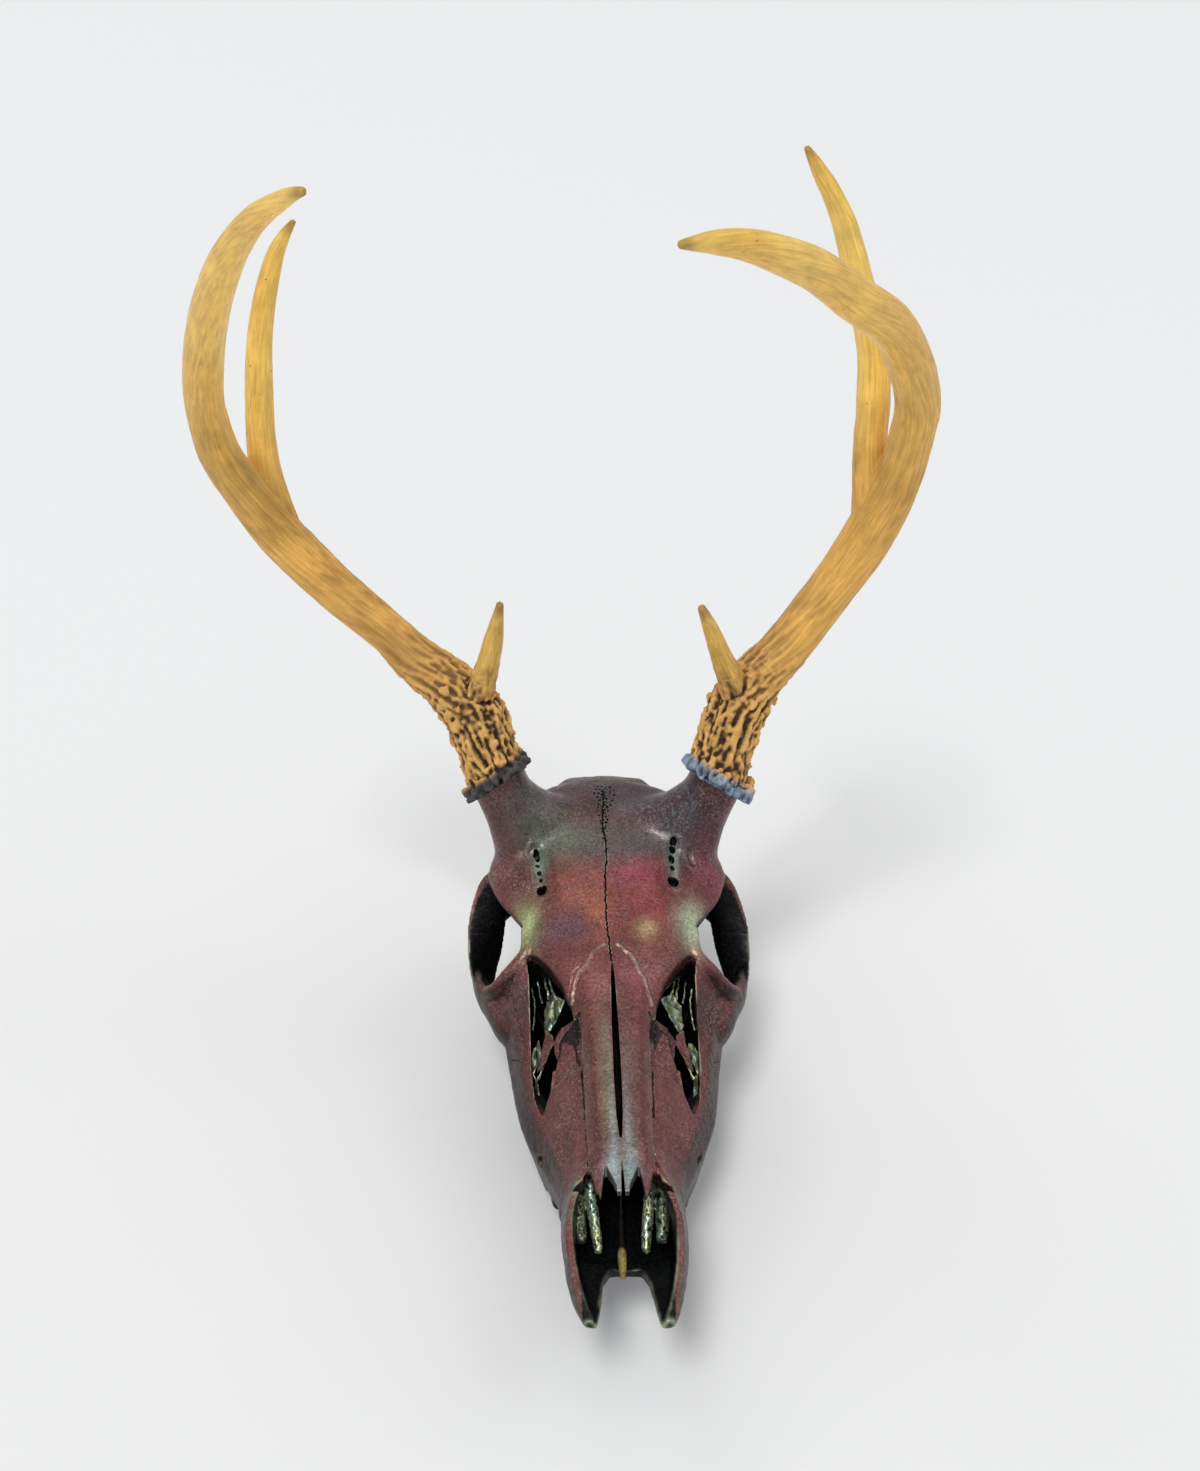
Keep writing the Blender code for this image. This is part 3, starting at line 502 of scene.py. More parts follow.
# Half of each cross-section of the face from nose to orbit, as (x, z) from crest to palate.
faceStations = (
    (66, (0, 55.6), (7, 54.6), (12.0, 50.5), (17, 44), (22.4, 37), (23.8, 28), (21, 21), (10, 20), (0, 21)),
    (78, (0, 60), (8, 58.8), (12.5, 54), (17.6, 47), (23, 39), (24.8, 30), (21.6, 19), (12, 20), (0, 22)),
    (92, (0, 65.2), (8.5, 63.6), (12.9, 58.5), (19.6, 51), (27, 41), (29.6, 30), (25, 12), (14, 16), (0, 21)),
    (106, (0, 70.2), (9, 68.4), (13.3, 63), (23, 53), (32, 42), (35.4, 31), (29.4, 9.6), (15, 16), (0, 21)),
    (120, (0, 75), (9.5, 73.4), (14, 68), (25.4, 57), (35.6, 45), (39.8, 33), (33.3, 9), (17, 17), (0, 23)),
    (134, (0, 80.2), (10.5, 78.6), (16, 73), (28, 63), (38.3, 50), (42.2, 36), (36.3, 9), (18, 18), (0, 24)),
    (148, (0, 85.8), (12.5, 84.4), (20.5, 79.5), (32.5, 71.5), (41.5, 57), (44.6, 42), (37, 9.4), (18, 19),
     (0, 25)),
    (160, (0, 90.4), (15, 89.4), (27, 85.5), (37, 78), (46, 62), (46.6, 47), (36, 11), (18, 20), (0, 26)),
    (170, (0, 93.6), (17, 92.6), (30, 87), (38, 78), (48, 62), (46.6, 48), (33, 19), (17, 23), (0, 27)),
    (178, (0, 95.5), (17, 94.5), (27, 88), (28, 78), (28, 62), (28, 50), (25, 33), (16, 27), (0, 29)),
)
# The same for the brain case, from between the orbits to the back of the head.
brainStations = (
    (150, (0, 80), (10, 78), (17, 73), (21, 62), (22, 52), (21, 44), (17, 36), (9, 31), (0, 30)),
    (172, (0, 90), (13, 88), (20, 82), (23, 70), (24, 58), (23, 48), (19, 38), (10, 32), (0, 31)),
    (190, (0, 95), (15, 93), (23, 86), (25, 74), (26, 62), (25, 50), (20, 41), (11, 37), (0, 36)),
    (208, (0, 104), (18, 102), (29, 93), (32, 80), (33, 67), (30, 53), (23, 42), (11, 36), (0, 35)),
    (226, (0, 112), (22, 110), (34, 99), (37, 86), (38, 71), (35, 54), (27, 41), (13, 33), (0, 32)),
    (244, (0, 118), (20, 117), (31, 106), (37, 91), (39, 74), (37, 56), (30, 41), (14, 31), (0, 30)),
    (260, (0, 119), (18, 118), (29, 108), (36, 93), (39, 76), (38, 58), (32, 42), (14, 31), (0, 29)),
    (274, (0, 113), (15, 112), (26, 103), (33, 90), (36, 75), (36, 59), (30, 43), (14, 33), (0, 30)),
    (284, (0, 105), (11, 104), (22, 97), (29, 85), (31, 71), (29, 58), (22, 46), (12, 38), (0, 34)),
)
# The forehead with its eaves over the orbits.
foreheadStations = (
    (146, (0, 84.6), (9, 83.8), (16, 81.6), (20.5, 78.0), (19, 75), (9, 70), (0, 68)),
    (158, (0, 89.8), (13, 89.0), (22.6, 86.8), (29.6, 82.6), (28, 79), (14, 72), (0, 70)),
    (168, (0, 93.4), (17, 92.8), (27, 90.0), (33.6, 84.6), (32, 81), (20, 74), (0, 72)),
    (180, (0, 97.6), (19, 97.4), (30, 94.0), (36.8, 86.6), (35.4, 83), (23, 77), (0, 75)),
    (196, (0, 103.0), (20, 103.0), (36, 98.4), (46.5, 89.8), (45, 86), (26, 80), (0, 78)),
    (208, (0, 107.2), (22, 107.6), (40, 102.4), (51, 91.6), (50, 87), (29, 82), (0, 80)),
    (218, (0, 110.8), (24, 111.6), (41, 106.4), (53, 93.0), (51, 87.5), (31, 84), (0, 82)),
    (230, (0, 115.0), (24, 117.4), (41, 112), (47.5, 100), (43, 92), (29, 87), (0, 85)),
    (246, (0, 119.4), (18, 120.6), (29, 119.6), (38, 108), (36, 98), (23, 90), (0, 88)),
    (258, (0, 119.8), (12, 119.0), (20, 115.0), (26, 104), (24, 97), (16, 92), (0, 90)),
)
# The open nasal passage, wider than the skin of bone that it leaves.
passageStations = (
    (60, (0, 70), (12, 66), (19.5, 52), (19.5, 38), (18.5, 30), (14.5, 24.4), (0, 24.4)),
    (68, (0, 53), (7, 51.8), (10.5, 47), (17, 38), (18.5, 30), (15, 24.4), (0, 24.4)),
    (80, (0, 57), (8, 55), (11.5, 50), (17.5, 40), (19, 31), (15, 24.4), (0, 24.6)),
    (100, (0, 64), (9, 62), (12.5, 56), (22, 44), (24, 34), (18, 25.4), (0, 25)),
    (122, (0, 72), (10, 70), (14, 65), (26, 52), (30, 40), (21, 27), (0, 27)),
    (142, (0, 79.4), (12, 77.6), (19, 73), (31, 62), (34, 46), (22, 30), (0, 29)),
    (158, (0, 84), (13, 82), (24, 79), (33.5, 70), (33, 54), (20, 36), (0, 31)),
    (168, (0, 86), (12, 84), (24, 80), (31, 70), (28, 56), (14, 42), (0, 36)),
    (174, (0, 80), (6, 78), (12, 74), (16, 68), (14, 60), (8, 50), (0, 46)),
)
# The two thin incisive bones as a trough, outside down and inside up again.
troughStations = (
    (10, (12.4, 33.4), (14.8, 33.2), (15.7, 32.0), (15.1, 30.4), (12.6, 29.8), (0, 29.8),
     (0, 31.8), (11.8, 32.0)),
    (16, (13.9, 34.2), (16.7, 33.8), (17.7, 31.2), (16.7, 27.8), (13.2, 26.6), (0, 26.6),
     (0, 29.2), (12.8, 29.4)),
    (24, (15.9, 35.4), (18.4, 35.0), (19.6, 30.2), (18.4, 24.8), (14.6, 23.0), (0, 23.0),
     (0, 25.8), (14.0, 26.4)),
    (36, (17.9, 38.6), (20.4, 38.2), (21.8, 31.0), (20.4, 22.8), (16.6, 20.4), (0, 20.4),
     (0, 23.6), (16.0, 24.8)),
    (50, (18.4, 44.2), (21.0, 43.8), (23.2, 34.0), (21.6, 22.6), (17.8, 20.0), (0, 20.0),
     (0, 23.6), (17.4, 25.0)),
    (62, (15.0, 48.8), (17.8, 48.2), (22.8, 36.0), (22.0, 22.6), (18.2, 20.0), (0, 20.2),
     (0, 24.0), (17.4, 25.4)),
    (72, (10.4, 52.4), (13.6, 51.6), (21.8, 38.0), (22.4, 22.4), (18.2, 19.8), (0, 20.6),
     (0, 24.2), (17.4, 26.0)),
)
nasalTipStations = (
    (54.6, (0.0, 51.6), (3.4, 51.6), (6.0, 50.9), (8.6, 49.0), (8.2, 46.6), (5.8, 48.4),
     (3.2, 49.2), (0.0, 49.2)),
    (64, (0.0, 54.8), (4.2, 54.6), (8.2, 53.0), (11.0, 49.8), (10.0, 46.6), (7.4, 50.0),
     (4.0, 51.6), (0.0, 51.8)),
    (72, (0.0, 57.8), (4.8, 57.4), (9.0, 55.6), (12.4, 51.6), (11.0, 47.4), (8.2, 52.2),
     (4.4, 54.2), (0.0, 54.6)),
)
bone = {
    "arch": ((37, 151, 50, 6, 9), (44, 160, 51, 6, 9), (49.5, 169, 52.5, 4.2, 7.8), (54.5, 181, 52, 3.4, 7.2),
             (57.6, 195, 51.5, 3.0, 7.0), (58.2, 209, 52.5, 3.0, 6.2), (56.4, 223, 55, 3.0, 4.8),
             (51, 237, 58, 3.4, 4.2), (42.5, 248, 61, 5.0, 4.6), (34, 256, 62, 6.0, 6.0)),
    # the ring behind the eye: outer lip, inner lip, thickness
    "orbitRing": ((42, 214, 99, 36, 217, 88, 5.0), (53.6, 217.8, 91.4, 42.5, 217.5, 85, 3.6),
                  (59.0, 214.5, 82, 44.0, 215, 77, 3.4), (61.8, 208, 72, 45.5, 211.5, 68.5, 3.2),
                  (62.2, 199.5, 62.5, 47.5, 208, 58, 3.2), (60.2, 188, 57.2, 50.5, 197, 50, 3.4),
                  (56.0, 177.5, 57.4, 49.5, 184, 49, 3.8), (51.2, 169, 60.4, 46, 172, 50, 4.0)),
    "orbitFront": ((51.5, 172, 59.6, 3.2, 4.0), (47.4, 166, 65.4, 3.4, 4.0), (41.4, 164.6, 74, 3.4, 3.8),
                   (35.2, 168.5, 81.6, 3.4, 3.2), (34.6, 180, 86, 3.4, 2.8)),
    "pedicle": ((27, 223, 88, 15), (33, 224.5, 98, 15), (37.0, 225.5, 107, 14), (40.0, 226.2, 116, 13),
                (44.5, 227.2, 126, 12.6), (50.5, 228.5, 140, 12.6)),
    "web": ((12, 236, 106, 13), (21, 233.5, 107.4, 14.2), (29, 231, 110.4, 14.6), (36, 229, 116, 14),
            (42, 228, 123, 12.8)),
    "jugular": ((27, 273, 52, 8), (28.5, 272, 38, 6.2), (29.6, 270.5, 25, 4.4), (30, 269, 15, 3.4),
                (30.2, 268, 6, 2.6)),
    "pterygoid": ((9.5, 172, 31, 2.2, 7), (10, 184, 29, 2.0, 8), (10.2, 196, 29, 1.9, 7.5),
                  (11, 206, 33, 2.0, 5)),
    "palateBack": ((25, 160, 22, 7, 7), (23, 170, 27, 5, 8), (19, 180, 33, 4, 8), (15, 190, 37, 3, 7)),
    "nuchal": ((0, 283.5, 105, 3.0), (12, 282.5, 103.6, 3.0), (22.5, 279.5, 97.5, 3.0), (30, 275, 87, 3.0),
               (34.5, 269.5, 73, 3.2), (36, 265, 60, 3.8), (33, 262, 47, 4.2)),
    # rounded masses and hollows, as centre and half sizes
    "condyle": ((13.5, 283.5, 43), (8.4, 8.0, 10.5)),
    "bulla": ((23, 250, 33), (6.8, 10.5, 9.0)), "mastoid": ((33, 266, 56), (6, 8, 15)),
    "earTube": ((33, 255, 46), (8, 5.4, 5.2)), "occiput": ((0, 279, 68), (24, 8, 26)),
    "orbit": ((45, 192, 69), (18.5, 25.5, 17.5)), "canal": ((0, 292, 54), (8.6, 13, 8.4)),
    "choana": ((0, 182, 30), (7.4, 26, 6.6)), "earHole": ((42, 255, 46), (6, 2.6, 2.6)),
    "lacrimalPit": ((47, 156, 66), (4.2, 8.0, 5.6)), "cheekHole": ((28.5, 97, 31), (6.5, 2.6, 2.4)),
}
# The opening beside the nasal bones, the slit between them and the gap between the incisive bones.
vacuity = ((35.6, 167.6), (31, 162.2), (25.8, 155.4), (20.9, 147.8), (17.4, 139), (16.6, 133),
           (22, 131.6), (23, 126), (25, 121), (26.4, 113), (29.6, 106.5), (32.4, 116), (33.7, 128), (33.9, 144),
           (34.2, 158))
slitSide = ((0.45, 152), (0.9, 142), (1.35, 122), (1.5, 100), (1.25, 84), (0.5, 75))
slit = slitSide + tuple((-x, y) for x, y in reversed(slitSide))
tipGap = ((-11.6, -4), (11.6, -4), (10.9, 12), (9.6, 28), (8.2, 40), (5.4, 45), (-5.4, 45), (-8.2, 40),
          (-9.6, 28), (-10.9, 12))
nasalNotch = ((1.9, 51), (8.0, 51), (8.1, 55.4), (6.3, 64.5), (5.7, 64.5), (2.3, 56.6))
# Each bone as an outline pushed through the skull, along z from above or along x from the side.
boneRegions = (
    ("nasal", "z", 44, 120, ((0, 50), (14, 50), (12.9, 62), (12.9, 72), (13.4, 92), (14.6, 112), (16.4, 134),
                             (15.6, 143), (12.5, 150), (7, 156), (2.4, 160.5), (0, 161))),
    ("frontal", "x", 0, 75, ((139, 72), (150, 77), (162, 81.5), (171, 79), (184, 75), (200, 71), (212, 66),
                             (224, 70), (232, 84), (240, 98), (248, 108), (252, 116), (253, 160), (139, 160))),
    ("cheekbone", "x", 31, 80, ((156, 95), (152, 74), (147, 66), (152, 60), (147, 54), (153, 47),
                                (149, 41), (162, 34), (178, 30), (212, 36), (225, 44), (219, 50),
                                (225, 56), (219, 62),
                                (219, 95))),
    ("premaxilla", "x", 0, 60, ((-10, -30), (52, -30), (50, 24), (58, 31), (66, 40), (76, 51), (60, 92),
                                (-10, 92))),
    ("maxilla", "x", 0, 60, ((52, -30), (181, -30), (181, 43), (168, 46), (158, 52), (158, 92), (60, 92),
                             (76, 51), (66, 40), (58, 31), (50, 24))),
)
seams = {
    "noseRoot": (((-2.5, 160.8, 90.5), (-7.9, 157.1, 88.9), (-10.4, 152, 86.4), (-14.5, 148, 83.2),
                  (-16.1, 143.7, 79.3), (-17, 139, 75.3)),
                 ((2.5, 160.6, 90.5), (8, 156.3, 88.5), (10.7, 150.3, 85.6), (12.9, 144.9, 82.3),
                  (14.7, 139.7, 78.1), (15.1, 137.1, 76))),
    "cheekRight": ((-43.9, 161.5, 67.9), (-41.3, 156.1, 66.5), (-39.1, 149.3, 62.2), (-36.5, 137.8, 54.5),
                   (-36.9, 135.3, 51.4), (-40.2, 140.4, 46.9), (-43.7, 149.2, 43.2)),
    "cheekLeft": ((45.6, 162.1, 69.5), (42.5, 158.6, 66.9), (40.9, 154.3, 64.8), (39.3, 148.9, 61.5),
                  (40.2, 148, 59.2), (39.6, 144.1, 56), (38.4, 138.6, 52), (38.9, 136.8, 47.4),
                  (43.5, 148.0, 42.5)),
    "crown": ((-22, 254, 117), (-15.8, 257.3, 118.6), (-6.7, 255, 119.7), (4.7, 255.4, 119.6),
              (14, 257.7, 118.6), (21, 254.5, 117)),
    "midline": ((-0.9, 247, 119.4), (-1.4, 236, 116), (-1.9, 222.8, 112.6), (-1, 214.5, 109.6),
                (-0.6, 207.3, 107), (-1.5, 193.7, 102.2), (-1.6, 180.3, 97.7), (-1.4, 170.1, 94),
                (-0.9, 161.5, 91), (-0.3, 152, 88)),
    "browTroughs": (((-28.6, 190, 98.4), (-29.4, 200, 102), (-30.8, 212, 107)),
                    ((27.4, 195, 99), (27.8, 204, 103), (28.6, 215, 109))),
    "browGrooves": (((-27.2, 222, 117), (-31.9, 215, 110.1), (-33.6, 211, 106), (-32.9, 203, 103),
                     (-31.5, 195, 99.5)),
                    ((30.1, 218.5, 114), (34.3, 213.3, 107.9), (36.8, 207, 102.8))),
}


def soften(thing, box, rounds):
    # Smooths only what lies inside the box.
    (x0, y0, z0), (x1, y1, z1) = box
    group = thing.vertex_groups.new(name="soft")
    for v in thing.data.vertices:
        x, y, z = abs(v.co.x), v.co.y, v.co.z
        if x0 < x < x1 and y0 < y < y1 and z0 < z < z1:
            group.add([v.index], min(1.0, (z - z0) / 8, (y - y0) / 8, (y1 - y) / 8), "REPLACE")
    mod = thing.modifiers.new("soft", "SMOOTH")
    mod.vertex_group = "soft"
    mod.iterations = rounds
    thing = settle(thing)
    thing.vertex_groups.clear()
    return thing


def lean(mesh):
    # The lower parts of this skull sit a little to the animal's left.
    places = placesOf(mesh)
    places[:, 0] += 0.045 * np.maximum(0, 92 - places[:, 2])
    setPlaces(mesh, places)


roughing = {"voxel": 1.25, "rounds": 12, "softBrow": ((-1, 204, 94), (60, 256, 140)), "browRounds": 36}


def roughSkull():
    solid = [loft("face", faceStations, 4), loft("brain", brainStations, 4),
             loft("forehead", foreheadStations, 4), ball("occiput", *bone["occiput"])]
    halves = [tube("pedicle", bone["pedicle"]), tube("web", bone["web"]),
              strut("palateBack", bone["palateBack"])]
    halves += [ball(k, *bone[k]) for k in ("condyle", "bulla", "mastoid", "earTube")]
    whole = remesh(joined("skull", solid + both(halves)), roughing["voxel"], roughing["rounds"])
    return soften(whole, roughing["softBrow"], roughing["browRounds"])


def heightAt(tree, x, y):
    spot = tree.ray_cast(Vector((x, y, 200)), Vector((0, 0, -1)))[0]
    return spot.z if spot else None


def scribe(tree, line, width, depth, wobble=0.0, step=0.9, seed=1):
    # A blade that follows the bone along a line and cuts a crack of this width and depth.
    random.seed(seed)
    rows = between([tuple(p) for p in line], 12)
    rings, last = [], None
    for i, row in enumerate(rows):
        spot = Vector(row)
        if last is not None and (spot - last).length < step and i < len(rows) - 1:
            continue
        near, normal, _, away = tree.find_nearest(spot)
        side = normal.cross(heading(rows, i).normalized()).normalized()
        spot = near + side * random.uniform(-wobble, wobble)
        wide = width * random.uniform(0.7, 1.25) / 2
        if i == 0 or i == len(rows) - 1:
            wide *= 0.35
        rings.append([spot - normal * depth - side * wide * 0.5, spot - normal * depth + side * wide * 0.5,
                      spot + normal * 1.2 + side * wide * 1.25, spot + normal * 1.2 - side * wide * 1.25])
        last = Vector(row)
    return skin("blade", rings)


def pitsAt(tree, spots, seed):
    random.seed(seed)
    made = []
    for x, y, size in spots:
        z = heightAt(tree, x, y)
        if z is None:
            continue
        half = (size * random.uniform(0.7, 1.1), size * random.uniform(0.8, 1.5), size * 1.6)
        made.append(ball("pit", (x, y, z - size * 0.2), half, 2))
    return joined("pits", made)


def apart(spots, least):
    # Keeps only spots that don't touch one another.
    kept = []
    for x, y, size in spots:
        if all(math.hypot(x - a, y - b) > (size + s) * least for a, b, s in kept):
            kept.append((x, y, size))
    return kept


def jigged(places):
    # Places with a small waver, so that a line drawn by them isn't quite even.
    waver = [softNoise(places, 2.4, seed) for seed in (31, 32)]
    return places + 0.6 * np.stack(waver + [np.zeros(len(places))], 1)


relief = {
    # beside each kind of line: (height, distance from the line, width) of its raised lips and its groove
    "lines": {"noseRoot": ((0.5, 0, 0.6), (-0.3, 1.3, 0.5)), "browGrooves": ((0.35, 1.8, 0.9), (-0.7, 0, 0.8)),
              "browTroughs": ((0.30, 3.2, 1.2), (-1.0, 0, 1.7))},
    # the raised nasal bones: their half width along the nose, their rise and the dip beside them
    "nasalAlong": (50, 68, 86, 103, 111, 126, 140), "nasalHalf": (11.4, 12.7, 12.9, 13.3, 13.5, 14.6, 16.6),
    "nasalRise": 0.75, "nasalDip": 0.45,
    # the step down in front of the openings beside the nasals
    "shelfAt": 113.5, "shelfDrop": 1.1,
}


def boneRelief(places):
    wave = 0.20 * layeredNoise(places, 14, 3) + 0.07 * layeredNoise(places, 3.5, 9)
    nape = ramp(places[:, 1], 252, 275)
    wave += nape * 0.22 * layeredNoise(places, 4.0, 21)
    for name, rows in relief["lines"].items():
        spots = jigged(places) if name == "noseRoot" else places
        for line in seams[name]:
            away = nearLine(spots, line)
            wave += sum(height * bell(away, middle, wide) for height, middle, wide in rows)
    across, along, high = np.abs(places[:, 0]), places[:, 1], places[:, 2]
    top = (high > 42 + 0.26 * (along - 50)) * ramp(along, 52, 60) * (1 - ramp(along, 132, 146))
    inner = np.clip(across / np.interp(along, relief["nasalAlong"], relief["nasalHalf"]), 0, 1.4)
    wave += top * np.where(inner < 1, relief["nasalRise"] * (1 - inner ** 6),
                           -relief["nasalDip"] * bell(inner, 1, 0.14))
    shelf = (across > 13.5) & (across < 25) & (along < 134) & (high > 52)
    edge = relief["shelfAt"] + 0.9 * softNoise(places, 2.0, 41)
    wave -= relief["shelfDrop"] * shelf * ramp(along, edge, edge + 0.8)
    return wave


def makeSkull():
    holes = [joined("first", [loft("passage", passageStations), ball("canal", *bone["canal"], 4),
                              prism("tipGap", tipGap, "z", 12, 40)]),
             joined("second", [ball("choana", *bone["choana"], 4)]
                    + both([ball(k, *bone[k], 4) for k in ("orbit", "earHole", "cheekHole")])),
             joined("third", both([prism("vacuity", vacuity, "z", 44, 110),
                                   ball("pit", *bone["lacrimalPit"], 4)]))]
    hull = roughSkull()
    hullCopy = addObject("hull", hull.data.copy())
    body = joined("skull", [hull] + both([loft("incisive", troughStations, 8, False)]))
    skull = cutAll(remesh(body, fineVoxel), holes)
    thin = both([loft("tips", nasalTipStations, 6, False), ribbon("ring", bone["orbitRing"]),
                 strut("arch", bone["arch"]), strut("orbitFront", bone["orbitFront"], up=Vector((1, 0, 0.4))),
                 tube("jugular", bone["jugular"]), strut("pterygoid", bone["pterygoid"]),
                 tube("nuchal", bone["nuchal"])])
    skull = remesh(joined("skull", [skull] + thin), fineVoxel, 5, 0.5)
    places = placesOf(skull.data)
    setPlaces(skull.data, places + normalsOf(skull.data) * boneRelief(places)[:, None])
    return skull, hullCopy


marks = {
    # cracks as width, depth, wobble and step
    "cheekCrack": (0.45, 0.9, 0.8, 0.9), "crownCrack": (0.55, 1.0, 0.5, 1.1),
    "sideCrack": (1.15, 4.5, 0.15, 2.0), "midCrack": (0.95, 1.8, 0.35, 0.8),
    "sideLine": ((13.5, 111, 63), (13.3, 103, 61), (12.9, 86, 56), (12.7, 68, 50.5)),
    "tipSplit": ((-0.9, 50), (0.9, 50), (0.25, 66), (-0.25, 66)),
    # pores in a band along the midline that widens from 0.4 by 1.5 towards the crown
    "pores": 520, "poreBand": (214, 250), "poreMiddle": -1.2, "poreSpread": (0.4, 1.5),
    "poreSize": (0.44, 0.9), "poreGap": 1.12,
    # the larger brow holes as x, y and size
    "browHoles": ((-28.4, 191.2, 2.8), (-31.0, 210.2, 1.9), (-30.4, 208.2, 1.7), (-30.4, 204.2, 1.1),
                  (-29.6, 200.6, 1.2), (-28.9, 196.8, 1.2), (27.6, 195.8, 2.8), (28.8, 214.4, 1.8),
                  (28.2, 212.0, 2.0), (27.6, 207.6, 1.7), (27.7, 203.2, 1.2)),
}


def markSkull(skull):
    # Slits, cracks, holes and pores, cut after the relief so that they stay sharp.
    tree = BVHTree.FromObject(skull, bpy.context.evaluated_depsgraph_get())
    first = both([prism("notch", nasalNotch, "z", 44, 60)])
    first += [prism("slit", slit, "z", 44, 120), prism("tipSplit", marks["tipSplit"], "z", 44, 60)]
    for k, name in enumerate(("cheekRight", "cheekLeft")):
        first.append(scribe(tree, seams[name], *marks["cheekCrack"], 5 + k))
    first.append(scribe(tree, seams["crown"], *marks["crownCrack"], 8))
    for sign in (1, -1):
        gap = [(sign * x, y, z) for x, y, z in marks["sideLine"]]
        first.append(scribe(tree, gap, *marks["sideCrack"], 15 + sign))
    random.seed(23)
    pores = []
    front, back = marks["poreBand"]
    least, more = marks["poreSpread"]
    for k in range(marks["pores"]):
        y = random.uniform(front, back)
        wide = least + more * (y - front) / (back - front)
        pores.append((random.gauss(marks["poreMiddle"], wide), y, random.uniform(*marks["poreSize"])))
    tools = [joined("first", first), scribe(tree, seams["midline"], *marks["midCrack"], 3),
             pitsAt(tree, apart(pores, marks["poreGap"]), 4), pitsAt(tree, marks["browHoles"], 9)]
    return biggest(cutAll(skull, tools))


# Sprayed paint, with painted shade and painted highlights among it: colour zones in the skull's frame with
# centre, half size and strength. The colours for the sides, the undersides and the inside are painted shade.
paint = {
    "base": (120, 70, 66), "side": (40, 18, 16), "underShade": (30, 20, 21), "inside": (7, 10, 13),
    "seam": (206, 196, 168),
    # how strongly each covers what is below it
    "seamShare": 0.95, "sideShadeShare": 0.95, "underShadeShare": 0.92,
    "zones": (
        # slate and teal over the pedicles and the top of the forehead
        ((0, 246, 116), (60, 24, 40), (82, 72, 76), 1.0),
        ((-34, 222, 116), (13, 13, 22), (104, 114, 116), 0.95),
        ((36, 222, 116), (14, 13, 22), (74, 74, 90), 0.95),
        ((-20, 214, 106), (20, 9, 20), (116, 124, 106), 0.95),
        ((14, 214, 106), (24, 9, 20), (100, 98, 98), 0.95), ((0, 264, 118), (26, 8, 12), (112, 84, 74), 0.9),
        ((-16, 240, 116), (9, 8, 10), (104, 68, 76), 0.8), ((-46, 226, 108), (8, 16, 14), (104, 70, 68), 0.8),
        ((46, 224, 108), (8, 16, 14), (96, 54, 64), 0.8), ((22, 232, 114), (9, 7, 10), (66, 66, 84), 0.7),
        # warm and magenta fields of the forehead
        ((-12, 190, 98), (12, 12, 12), (158, 92, 80), 0.95),
        ((13, 198, 100), (12, 8, 12), (166, 78, 96), 0.95),
        ((14, 183, 96), (12, 11, 12), (160, 80, 82), 0.9), ((-5, 177, 96), (6, 11, 10), (176, 98, 70), 0.85),
        ((-19, 170, 91), (9, 7, 10), (108, 80, 98), 0.8), ((15, 169, 91), (4.2, 5, 8), (196, 168, 128), 0.9),
        ((-44, 208, 96), (7, 10, 14), (128, 70, 68), 0.8), ((45, 206, 98), (7, 10, 14), (140, 56, 74), 0.8),
        # painted highlights: pale green gold at the front corners of the orbits, silver green along the brow
        # troughs
        ((-35, 179, 88), (5.2, 10, 8), (196, 210, 148), 1.0),
        ((34.5, 178, 89), (6.0, 11, 8), (200, 216, 180), 1.0),
        ((-29.6, 203, 104), (2.6, 12, 7), (150, 168, 150), 0.95),
        ((28.2, 206, 105), (2.4, 11, 7), (136, 164, 146), 0.95),
        # rose nasal sides with a grey green middle that ends in teal silver tips
        ((-8, 146, 84), (7, 10, 14), (152, 92, 92), 0.9), ((8, 146, 84), (7, 10, 14), (160, 96, 102), 0.9),
        ((-11.5, 104, 66), (3.4, 40, 16), (100, 62, 56), 0.95),
        ((11.5, 104, 66), (3.4, 40, 16), (112, 64, 60), 0.95),
        ((-4.4, 104, 66), (3.0, 36, 14), (126, 116, 96), 0.95),
        ((4.8, 104, 66), (3.0, 36, 14), (120, 98, 92), 0.95),
        ((-2.6, 84, 58), (1.5, 24, 12), (150, 158, 154), 0.9),
        ((2.8, 84, 58), (1.5, 24, 12), (146, 152, 150), 0.9),
        ((-3.2, 62, 51), (3.2, 9, 10), (164, 182, 184), 1.0),
        ((3.2, 62, 51), (3.2, 9, 10), (160, 182, 182), 1.0),
        # dusty red cheeks and mauve tear bones
        ((-28, 100, 52), (10, 26, 14), (124, 78, 68), 0.8), ((28, 100, 52), (10, 26, 14), (132, 76, 72), 0.8),
        ((-40, 152, 66), (6, 10, 10), (110, 84, 88), 0.8), ((40, 152, 66), (6, 10, 10), (100, 68, 76), 0.8),
        ((-50, 160, 62), (6, 22, 12), (112, 60, 56), 0.7), ((50, 160, 62), (6, 22, 12), (104, 54, 54), 0.7),
    ),
}


